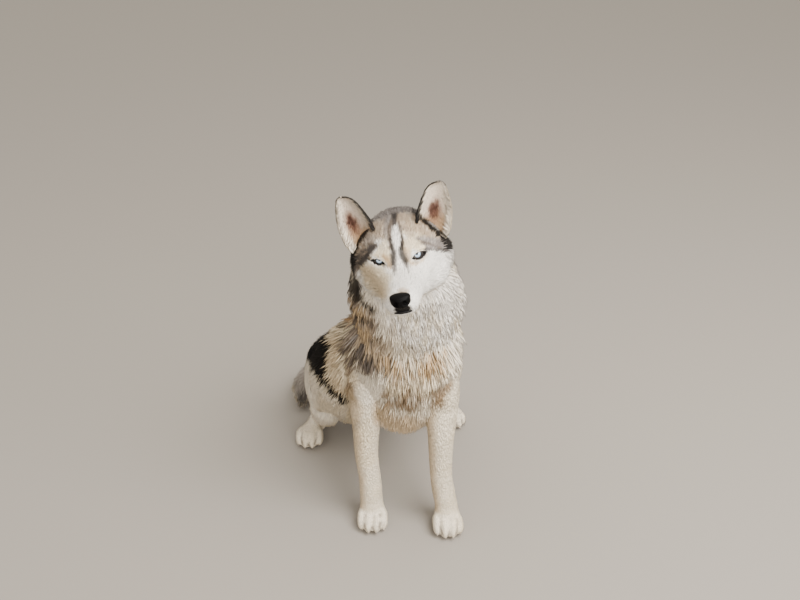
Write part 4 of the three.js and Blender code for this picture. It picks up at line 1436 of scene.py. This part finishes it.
def makeBlade(name, shape):
    corners = ((-0.5, 0.0), (0.5, 0.0), (0.0, 1.0))
    points, sheet = [], []
    for z, wide, lift in shape["rows"]:
        for x, y in corners:
            points.append((x * wide, lift + y * shape["thick"] * wide, z))
            sheet.append((x, z - 0.5))
    points.append((0, 1.0, 1))
    sheet.append((0, 0.5))
    tip = len(points) - 1
    faces = [(0, 1, 2)]
    for i in range(len(shape["rows"]) - 1):
        a, b = 3 * i, 3 * i + 3
        faces += [(a + j, b + j, b + (j + 1) % 3, a + (j + 1) % 3) for j in range(3)]
    last = tip - 3
    faces += [(last + j, tip, last + (j + 1) % 3) for j in range(3)]
    mesh = bpy.data.meshes.new(name)
    mesh.from_pydata(points, [], faces)
    mesh.update()
    work = bmesh.new()
    work.from_mesh(mesh)
    bmesh.ops.triangulate(work, faces=work.faces)
    bmesh.ops.recalc_face_normals(work, faces=work.faces)
    work.to_mesh(mesh)
    work.free()
    corner = mesh.attributes.new("sheet", "FLOAT2", "CORNER")
    corner.data.foreach_set("vector", np.array([sheet[loop.vertex_index] for loop in mesh.loops]).ravel())
    along = mesh.attributes.new("along", "FLOAT", "POINT")
    along.data.foreach_set("value", [p[2] for p in points])
    return objectFrom(name, mesh)


def coatTree():
    tree = bpy.data.node_groups.new("coat", "GeometryNodeTree")
    face = tree.interface
    for name, kind in (("Geometry", "Geometry"), ("Blade", "Object"), ("Material", "Material")):
        face.new_socket(name, in_out="INPUT", socket_type="NodeSocket" + kind)
    for name, value in (
        ("Share", 1.0), ("Rise", 0.3), ("Wide", 1.0), ("Sway", 0.5), ("Stray", 0.25), ("Clump", 0.045),
        ("Patch", 0.003),
    ):
        face.new_socket(name, in_out="INPUT", socket_type="NodeSocketFloat").default_value = value
    face.new_socket("Seed", in_out="INPUT", socket_type="NodeSocketInt").default_value = 1
    face.new_socket("Geometry", in_out="OUTPUT", socket_type="NodeSocketGeometry")
    given = addNode(tree, "NodeGroupInput").outputs
    stored = {}
    for name, kind in (
        ("density", "FLOAT"), ("hair", "FLOAT"), ("breadth", "FLOAT"), ("flow", "FLOAT_VECTOR"),
        ("OFBake", "FLOAT_VECTOR"), ("sheet", "FLOAT_VECTOR"), ("rootPatch", "FLOAT_VECTOR"),
    ):
        node = addNode(tree, "GeometryNodeInputNamedAttribute", {"data_type": kind, "Name": name})
        stored[name] = node.outputs["Attribute"]
    # What chance gives each tuft: lowest, highest, and what is added to the seed.
    drawn = {}
    for name, low, high, apart in (
        ("stray", -1.0, 1.0, 11), ("long", 0.72, 1.12, 23), ("rise", 0.55, 1.35, 37), ("wide", 0.7, 1.3, 41),
        ("tone", 0.0, 1.0, 53),
    ):
        seed = addNode(tree, "ShaderNodeMath", {"operation": "ADD", 1: apart}, {0: given["Seed"]})
        drawn[name] = addNode(
            tree, "FunctionNodeRandomValue", {"data_type": "FLOAT", 2: low, 3: high},
            {"Seed": seed.outputs["Value"]},
        ).outputs[1]
    # Clumps: tufts near each other turn and rise together, by two noises of the clump's size.
    place = addNode(tree, "GeometryNodeInputPosition").outputs["Position"]
    clumps = []
    for finer, detail in ((1.0, 2.0), (1.7, 1.0)):
        scale = addNode(tree, "ShaderNodeMath", {"operation": "DIVIDE", 0: finer}, {1: given["Clump"]})
        clumps.append(addNode(
            tree, "ShaderNodeTexNoise", {"Detail": detail}, {"Vector": place, "Scale": scale.outputs["Value"]}
        ).outputs["Fac"])
    centred = addNode(tree, "ShaderNodeMath", {"operation": "MULTIPLY_ADD", 1: 4.0, 2: -2.0}, {0: clumps[0]})
    uneven = addNode(tree, "ShaderNodeMath", {"operation": "ADD", 1: 0.5}, {0: clumps[1]})
    made = {}
    for name, factors in {
        "dense": (stored["density"], given["Share"]),
        "swing": (centred.outputs["Value"], given["Sway"]),
        "stray": (drawn["stray"], given["Stray"]),
        "long": (stored["hair"], drawn["long"]),
        "rise": (given["Rise"], uneven.outputs["Value"], drawn["rise"]),
        "wide": (stored["breadth"], given["Wide"], drawn["wide"]),
    }.items():
        made[name] = factors[0]
        for factor in factors[1:]:
            made[name] = addNode(
                tree, "ShaderNodeMath", {"operation": "MULTIPLY"}, {0: made[name], 1: factor}
            ).outputs["Value"]
    high = addNode(tree, "ShaderNodeMath", {"operation": "MULTIPLY"}, {0: made["long"], 1: made["rise"]})
    angle = addNode(tree, "ShaderNodeMath", {"operation": "ADD"}, {0: made["swing"], 1: made["stray"]})
    points = addNode(
        tree, "GeometryNodeDistributePointsOnFaces", {"distribute_method": "RANDOM"},
        {"Mesh": given["Geometry"], "Seed": given["Seed"], "Density": made["dense"]},
    ).outputs
    turned = addNode(
        tree, "ShaderNodeVectorRotate", {"rotation_type": "AXIS_ANGLE"},
        {"Vector": stored["flow"], "Axis": points["Normal"], "Angle": angle.outputs["Value"]},
    )
    facing = addNode(
        tree, "FunctionNodeAxesToRotation", {"primary_axis": "Z", "secondary_axis": "Y"},
        {"Primary Axis": turned.outputs["Vector"], "Secondary Axis": points["Normal"]},
    )
    size = addNode(
        tree, "ShaderNodeCombineXYZ", links={"X": made["wide"], "Y": high.outputs["Value"], "Z": made["long"]}
    )
    blade = addNode(tree, "GeometryNodeObjectInfo", links={"Object": given["Blade"]})
    # Kept on each root: its place on the skin's map, its tone, and the skin's normal.
    rooted = points["Points"]
    for name, kind, value in (
        ("rootPatch", "FLOAT_VECTOR", stored["OFBake"]), ("tone", "FLOAT", drawn["tone"]),
        ("lie", "FLOAT_VECTOR", points["Normal"]),
    ):
        rooted = addNode(
            tree, "GeometryNodeStoreNamedAttribute", {"data_type": kind, "domain": "POINT", "Name": name},
            {"Geometry": rooted, "Value": value},
        ).outputs["Geometry"]
    tufts = addNode(
        tree, "GeometryNodeInstanceOnPoints", {},
        {
            "Points": rooted, "Instance": blade.outputs["Geometry"], "Rotation": facing.outputs["Rotation"],
            "Scale": size.outputs["Vector"],
        },
    )
    solid = addNode(tree, "GeometryNodeRealizeInstances", links={"Geometry": tufts.outputs["Instances"]})
    # Each tuft's patch of the map lies about its root's place on the skin's map.
    patch = addNode(
        tree, "ShaderNodeVectorMath", {"operation": "MULTIPLY_ADD"},
        {0: stored["sheet"], 1: given["Patch"], 2: stored["rootPatch"]},
    )
    mapped = addNode(
        tree, "GeometryNodeStoreNamedAttribute",
        {"data_type": "FLOAT2", "domain": "CORNER", "Name": "OFBake"},
        {"Geometry": solid.outputs["Geometry"], "Value": patch.outputs["Vector"]},
    )
    for name in ("rootPatch", "sheet", "flow", "hair", "breadth", "density"):
        mapped = addNode(
            tree, "GeometryNodeRemoveAttribute", {"Name": name}, {"Geometry": mapped.outputs["Geometry"]}
        )
    # No hair goes below the floor.
    apart = addNode(tree, "ShaderNodeSeparateXYZ", links={"Vector": place}).outputs
    above = addNode(tree, "ShaderNodeMath", {"operation": "MAXIMUM", 1: coat["floor"]}, {0: apart["Z"]})
    onFloor = addNode(
        tree, "ShaderNodeCombineXYZ", links={"X": apart["X"], "Y": apart["Y"], "Z": above.outputs["Value"]}
    )
    moved = addNode(
        tree, "GeometryNodeSetPosition",
        links={"Geometry": mapped.outputs["Geometry"], "Position": onFloor.outputs["Vector"]},
    )
    finished = addNode(
        tree, "GeometryNodeSetMaterial",
        links={"Geometry": moved.outputs["Geometry"], "Material": given["Material"]},
    )
    addNode(tree, "NodeGroupOutput", links={"Geometry": finished.outputs["Geometry"]})
    return tree


furTree = coatTree()
bladeItems = {name: makeBlade(name + "Blade", shape) for name, shape in blades.items()}

# Each piece of the coat: its blade, about how many tufts, how far they rise and sway, and the
# size of a clump in metres.
coatPieces = {
    "coatFace": ("short", 15000, 0.2, 0.12, 0.02),
    "coatCrown": ("short", 11000, 0.16, 0.12, 0.025),
    "coatEars": ("short", 11000, 0.17, 0.2, 0.012),
    "coatNeckRight": ("long", 8800, 0.34, 0.4, 0.05),
    "coatNeckLeft": ("long", 8800, 0.34, 0.36, 0.05),
    "coatTrunkFront": ("long", 7750, 0.22, 0.24, 0.045),
    "coatTrunkBack": ("long", 7750, 0.2, 0.22, 0.05),
    "coatHindRight": ("short", 11500, 0.16, 0.16, 0.045),
    "coatHindLeft": ("short", 11500, 0.16, 0.16, 0.045),
    "coatFore": ("short", 14500, 0.08, 0.04, 0.03),
    "coatPaws": ("short", 13500, 0.11, 0.05, 0.02),
    "coatTail": ("long", 5300, 0.28, 0.3, 0.04),
}
# Where the hair of a part is divided into two pieces, and the seed of the first piece.
parting = {"face": 34, "neck": 8, "trunk": 240, "hind": -50}
firstSeed = 20


def whereGrows(f):
    x, y, _ = f["points"].T
    front = f["local"][:, 1] < parting["face"]
    onHead = inRegion(f, "head") & (earSide == 0)
    neck, trunk, hind = inRegion(f, "neck", "chest"), inRegion(f, "trunk"), inRegion(f, "hind")
    return {
        "coatFace": onHead & front, "coatCrown": onHead & ~front, "coatEars": earSide != 0,
        "coatNeckRight": neck & (x < parting["neck"]), "coatNeckLeft": neck & (x >= parting["neck"]),
        "coatTrunkFront": trunk & (y < parting["trunk"]), "coatTrunkBack": trunk & (y >= parting["trunk"]),
        "coatHindRight": hind & (x < parting["hind"]), "coatHindLeft": hind & (x >= parting["hind"]),
        "coatFore": inRegion(f, "fore"), "coatPaws": inRegion(f, "paw"), "coatTail": inRegion(f, "tail"),
    }


def pointAreas(mesh):
    # A third of each triangle's area to each of its corners, in square metres.
    mesh.calc_loop_triangles()
    corners = np.empty(len(mesh.loop_triangles) * 3, int)
    mesh.loop_triangles.foreach_get("vertices", corners)
    sizes = np.empty(len(mesh.loop_triangles))
    mesh.loop_triangles.foreach_get("area", sizes)
    return np.bincount(corners, np.repeat(sizes / 3, 3), len(mesh.vertices))


def growCoat(name, seed, mask, areas):
    # The breadth makes up for the tufts that the skin would need and the piece doesn't get.
    blade, tufts, rise, sway, clump = coatPieces[name]
    wanted = density * mask
    skin.data.attributes["density"].data.foreach_set("value", wanted)
    natural = float((wanted * areas).sum())
    item = objectFrom(name, skin.data)
    modifier = item.modifiers.new("coat", "NODES")
    modifier.node_group = furTree
    sizes = {
        "Blade": bladeItems[blade], "Material": fur, "Share": tufts / natural * coarser["share"],
        "Wide": min(1.7, max(0.8, math.sqrt(natural / tufts))) * coarser["wide"],
        "Rise": rise, "Sway": sway, "Clump": clump, "Stray": blades[blade]["stray"], "Seed": seed,
    }
    for socket in furTree.interface.items_tree:
        if socket.in_out == "INPUT" and socket.name in sizes:
            modifier[socket.identifier] = sizes[socket.name]
    made = settled(item)
    made.name = name
    made.shade_smooth()
    triangles = sum(len(p.vertices) - 2 for p in made.polygons)
    print(name, "natural", round(natural), "triangles", triangles)
    return item


def growAll():
    areas = pointAreas(skin.data)
    items = {}
    for place, (name, mask) in enumerate(whereGrows(fields).items()):
        items[name] = growCoat(name, firstSeed + place, mask, areas)
    for name in ("density", "flow", "hair", "breadth"):
        skin.data.attributes.remove(skin.data.attributes[name])
    return items


coatItems = growAll()
for helper in bladeItems.values():
    bpy.data.objects.remove(helper)


def pieceFrom(name, points, faces, material, stored=()):
    # A finished piece: its clean, smooth mesh with its material.
    mesh = meshFrom(name, points, faces)
    for title, values in stored:
        storeOn(mesh, title, "FLOAT", values)
    cleaned(mesh)
    mesh.shade_smooth()
    mesh.materials.append(material)
    return objectFrom(name, mesh)

# Eyes: the iris and its bulge, which way they look, and its colours from the middle outwards
# in shares of the eyeball's radius.

iris = {
    "radius": 6.0, "bulge": 1.1, "edge": 0.6, "look": (-0.04, -1.0, 0.46), "fibres": 0.05,
    "stops": (
        (0.0, "#050507"), (0.15, "#07080a"), (0.18, "#7f9cba"), (0.25, "#c9dbec"), (0.38, "#b4cbe2"),
        (0.46, "#4f6a86"), (0.5, "#15171b"), (0.6, "#1f1b1a"), (1.0, "#1c1716"),
    ),
}


def eyeMaterial():
    # A wet eyeball: pale blue iris with a dark ring, black pupil, and a clear gloss on top.
    material, tree, shader = newMaterial("wetEye", 0.08, **{"Coat Weight": 1.0, "Coat Roughness": 0.02})
    ring = addNode(tree, "ShaderNodeAttribute", {"attribute_name": "ring"})
    spoke = addNode(tree, "ShaderNodeAttribute", {"attribute_name": "spoke"})
    fibres = addNode(
        tree, "ShaderNodeTexNoise", {"noise_dimensions": "1D", "Scale": 26.0, "Detail": 3.0},
        {"W": spoke.outputs["Fac"]},
    )
    shift = addNode(
        tree, "ShaderNodeMath", {"operation": "MULTIPLY_ADD", 1: iris["fibres"], 2: -iris["fibres"] / 2},
        {0: fibres.outputs["Fac"]},
    )
    radius = addNode(
        tree, "ShaderNodeMath", {"operation": "ADD"}, {0: ring.outputs["Fac"], 1: shift.outputs["Value"]}
    )
    colours = addNode(tree, "ShaderNodeValToRGB", links={"Fac": radius.outputs["Value"]})
    elements = colours.color_ramp.elements
    while len(elements) < len(iris["stops"]):
        elements.new(0.5)
    for element, (place, shade) in zip(elements, iris["stops"]):
        element.position = place
        element.color = (*linear(shade), 1)
    tree.links.new(colours.outputs["Color"], shader.inputs["Base Color"])
    return material


def makeEyes(rows=48, around=64):
    parts, rings, spokes = [], [], []
    for s in eyeSides.values():
        look = np.array(iris["look"]) * [s, 1, 1]
        look /= np.linalg.norm(look)
        right = np.cross(look, [0, 0, 1])
        right /= np.linalg.norm(right)
        up = np.cross(right, look)
        points = []
        for p in np.linspace(0, 1, rows + 1) ** 1.5 * np.pi:
            across = eye["radius"] * math.sin(p)
            domed = max(0.0, 1 - (across / (iris["radius"] + iris["edge"])) ** 2)
            bulge = iris["bulge"] * domed * (math.cos(p) > 0)
            out = eye["radius"] * math.cos(p) + bulge
            for a in np.arange(around) * 2 * np.pi / around:
                points.append(out * look + across * (math.cos(a) * right + math.sin(a) * up))
                rings.append(across / eye["radius"] if math.cos(p) > 0 else 1.0)
                spokes.append(abs(a - np.pi) / np.pi * 3)
        parts.append((fromHead(np.array(points) + eyeMiddle(s)), ringFaces(rows, around)))
    points, faces = joined(parts)
    return pieceFrom("eyes", points, faces, eyeMaterial(), (("ring", rings), ("spoke", spokes)))


eyes = makeEyes()


def tubeMesh(lines, around=10):
    # Tubes along lines of points with a radius each: a line that is closed is a ring, and one
    # that is open gets a cap at each end. No line runs along "aside".
    aside = (0.1, 1, 0.2)
    parts = []
    for line, closed in lines:
        line = np.asarray(line, float)
        n = len(line)
        faces, points = [], []
        for i in range(n):
            before = line[(i - 1) % n if closed else max(i - 1, 0)]
            after = line[(i + 1) % n if closed else min(i + 1, n - 1)]
            tangent = after[:3] - before[:3]
            tangent /= np.linalg.norm(tangent) + 1e-9
            a = np.cross(tangent, aside)
            a /= np.linalg.norm(a)
            b = np.cross(tangent, a)
            for turn in np.arange(around) * 2 * np.pi / around:
                points.append(line[i, :3] + line[i, 3] * (math.cos(turn) * a + math.sin(turn) * b))
        for i in range(n if closed else n - 1):
            for j in range(around):
                k, m = (j + 1) % around, (i + 1) % n
                faces.append((i * around + j, i * around + k, m * around + k, m * around + j))
        if not closed:
            faces.append(tuple(range(around))[::-1])
            faces.append(tuple((n - 1) * around + j for j in range(around)))
        parts.append((np.array(points), faces))
    return joined(parts)


def wetSkinMaterial(name, hexColour, roughness, gloss):
    # Bare black skin of lids and lips: fine creases and a moist, soft gloss.
    material, tree, shader = newMaterial(name, roughness, **{"Specular IOR Level": gloss})
    shader.inputs["Base Color"].default_value = (*linear(hexColour), 1)
    place = addNode(tree, "ShaderNodeTexCoord")
    creases = addNode(
        tree, "ShaderNodeTexNoise", {"Scale": 900.0, "Detail": 2.0}, {"Vector": place.outputs["Object"]}
    )
    bump = addNode(
        tree, "ShaderNodeBump", {"Strength": 0.3, "Distance": 0.0006}, {"Height": creases.outputs["Fac"]}
    )
    tree.links.new(bump.outputs["Normal"], shader.inputs["Normal"])
    return material


lidRim = {"thick": (3.7, 5.0), "proud": 0.9}  # at the middle and at the corners of an eye, and out


def makeRims():
    lines = []
    for s in eyeSides.values():
        x, z = almond(s)
        n = len(x)
        radius = eye["radius"] + lidRim["proud"]
        y = -np.sqrt(np.maximum(radius ** 2 - x ** 2 * 0.8 - z ** 2, 9))
        corner = np.abs(np.cos(np.arange(n) * 2 * np.pi / n)) ** 6
        thick = lidRim["thick"][0] / 2 + (lidRim["thick"][1] - lidRim["thick"][0]) / 2 * corner
        line = np.stack([x, y, z], 1) + eyeMiddle(s)
        lines.append((np.c_[fromHead(line), thick], True))
    points, faces = tubeMesh(lines)
    return pieceFrom("eyelidRims", points, faces, wetSkinMaterial("lidSkin", "#191514", 0.42, 0.5))


rims = makeRims()


def makeLips():
    line = mouthLine(18)
    share = np.abs(np.linspace(-1, 1, len(line)))
    line += np.array([0, -1.1, 0.3])
    thick = mouth["lip"] * (1 - 0.8 * (share / mouth["seen"]) ** 2)
    front = share < mouth["seen"]
    points, faces = tubeMesh([(np.c_[fromHead(line), thick][front], False)])
    return pieceFrom("lips", points, faces, wetSkinMaterial("lipSkin", "#0d0b0b", 0.55, 0.2))


lips = makeLips()


def noseMaterial():
    # Nose leather: black, pebbled in cells about 1.2 mm across, moist.
    material, tree, shader = newMaterial("noseLeather", 0.4, **{"Specular IOR Level": 0.07})
    shader.inputs["Base Color"].default_value = (*linear("#060505"), 1)
    place = addNode(tree, "ShaderNodeTexCoord")
    cells = addNode(tree, "ShaderNodeTexVoronoi", {"Scale": 800.0}, {"Vector": place.outputs["Object"]})
    bump = addNode(
        tree, "ShaderNodeBump", {"Strength": 0.55, "Distance": 0.0006}, {"Height": cells.outputs["Distance"]}
    )
    bump.invert = True
    tree.links.new(bump.outputs["Normal"], shader.inputs["Normal"])
    return material


def makeNose(rows=56, around=72):
    # A wide pad, flat on top, with a comma for each nostril and a crease below them.
    points, faces = ballOf((0, 0, 0), (1, 1, 1), around, rows)
    half = nose["half"]
    holeX, holeZ, holeWide, holeHigh = nose["hole"]
    slitX, slitZ, slitWide, slitHigh = nose["slit"]
    x, y, z = points.T
    flat = np.sign(z) * np.abs(z) ** np.where(z > 0, 0.66, 0.9)
    wide = 1 + 0.1 * ramp(z, -0.4, 0.2) + 0.34 * ramp(z, 0.1, 0.9) - 0.3 * ramp(-z, 0.1, 1)
    shaped = np.stack([x * wide * half[0], y * half[1], flat * half[2]], 1)
    front = ramp(-y, 0.1, 0.6)
    for s in (-1, 1):
        hole = np.hypot((x - s * holeX) / holeWide, (z - holeZ + 0.3 * (np.abs(x) - holeX)) / holeHigh)
        slit = np.hypot((x - s * slitX) / slitWide, (z - slitZ) / slitHigh)
        deep = front * np.maximum(1 - ramp(hole, 0.55, 1.1), 0.8 * (1 - ramp(slit, 0.5, 1.1)))
        shaped[:, 1] += nose["nostril"] * deep
    shaped[:, 1] += nose["crease"] * (front * (1 - ramp(np.abs(x), 0.02, 0.1)) * ramp(-z, -0.2, 0.1))
    return pieceFrom("noseLeather", fromHead(shaped + np.array(nose["middle"])), faces, noseMaterial())


noseItem = makeNose()

# Claws: short curved horn, four on each paw.

claw = {
    "long": 9, "root": 4, "back": 8, "high": 16, "drop": (2, 8), "thick": 4.4, "taper": 0.85, "stops": 7,
}


def clawMaterial():
    # Horn, dark grey with paler streaks, and a dull shine.
    material, tree, shader = newMaterial("horn", 0.38)
    place = addNode(tree, "ShaderNodeTexCoord")
    streak = addNode(
        tree, "ShaderNodeTexNoise", {"Scale": 300.0, "Detail": 2.0}, {"Vector": place.outputs["Object"]}
    )
    mix = addNode(tree, "ShaderNodeValToRGB", links={"Fac": streak.outputs["Fac"]})
    mix.color_ramp.elements[0].color = (*linear("#4a423b"), 1)
    mix.color_ramp.elements[1].color = (*linear("#8d8276"), 1)
    tree.links.new(mix.outputs["Color"], shader.inputs["Base Color"])
    return material


def makeClaws():
    lines = []
    for foot in allFeet:
        rotate = turnedAbout("z", foot["turn"])
        for x, back in toePlaces():
            line = []
            for k in range(claw["stops"]):
                f = k / (claw["stops"] - 1)
                y = claw["back"] + back - f * (claw["long"] + claw["root"])
                z = claw["high"] - claw["drop"][0] * f - claw["drop"][1] * f * f
                place = rotate @ np.array([x, y, z]) + np.array([*foot["toe"], 0])
                line.append([*place, claw["thick"] / 2 * (1 - claw["taper"] * f ** 1.6)])
            lines.append((line, False))
    points, faces = tubeMesh(lines, 12)
    points[:, 2] = np.maximum(points[:, 2], skinForm["floor"])
    return pieceFrom("claws", points, faces, clawMaterial())


claws = makeClaws()
print("eyes, nose, lips and claws made")

# Floor and light: a pale floor, and soft daylight from above like an overcast sky. A lamp has
# its place, size and power; all are aimed at one point.

studio = {
    "floor": "#8f8981", "floorHalf": 6.0, "lampColour": (1.0, 0.97, 0.93), "aim": (0, 0, 0.35),
    "lamps": {"sky": ((1.5, -1.5, 2.6), 2.2, 205), "fill": ((1.4, -5.0, 1.8), 3.4, 225)},
    "world": "#f4eee4", "glow": {"From Min": -0.1, "From Max": 0.9, "To Min": 0.6, "To Max": 1.8},
}


def makeFloor():
    size = studio["floorHalf"]
    mesh = bpy.data.meshes.new("floor")
    corners = [(x * size, y * size, 0) for x, y in ((-1, -1), (1, -1), (1, 1), (-1, 1))]
    mesh.from_pydata(corners, [], [(0, 1, 2, 3)])
    item = objectFrom("floor", mesh)
    # Painted studio floor: even, pale and matt.
    material, _, shader = newMaterial("studioFloor", 0.9)
    shader.inputs["Base Color"].default_value = (*linear(studio["floor"]), 1)
    mesh.materials.append(material)


def makeLight(name, place, size, power):
    data = bpy.data.lights.new(name, "AREA")
    data.shape = "DISK"
    data.size = size
    data.energy = power
    data.color = studio["lampColour"]
    lamp = bpy.data.objects.new(name, data)
    lamp.location = place
    lamp.rotation_euler = (Vector(studio["aim"]) - Vector(place)).to_track_quat("-Z", "Y").to_euler()
    bpy.context.scene.collection.objects.link(lamp)


def makeWorld():
    world = bpy.data.worlds.new("studio")
    world.use_nodes = True
    tree = world.node_tree
    way = addNode(tree, "ShaderNodeTexCoord")
    height = addNode(tree, "ShaderNodeSeparateXYZ", links={"Vector": way.outputs["Generated"]})
    glow = addNode(tree, "ShaderNodeMapRange", studio["glow"], {"Value": height.outputs["Z"]})
    background = tree.nodes["Background"]
    background.inputs["Color"].default_value = (*linear(studio["world"]), 1)
    tree.links.new(glow.outputs["Result"], background.inputs["Strength"])
    bpy.context.scene.world = world


makeFloor()
for name, (place, size, power) in studio["lamps"].items():
    makeLight(name, place, size, power)
makeWorld()

# The imported solids are hidden, and each piece hangs from the body's root.
flesh = [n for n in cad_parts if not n.startswith(("claw", "eye_", "nose"))]
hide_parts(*flesh)
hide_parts("eye_left", "eye_right")
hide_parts("nose")
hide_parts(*[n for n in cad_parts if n.startswith("claw")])
for item in (skin, eyes, rims, lips, noseItem, claws, *coatItems.values()):
    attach(item, "root")
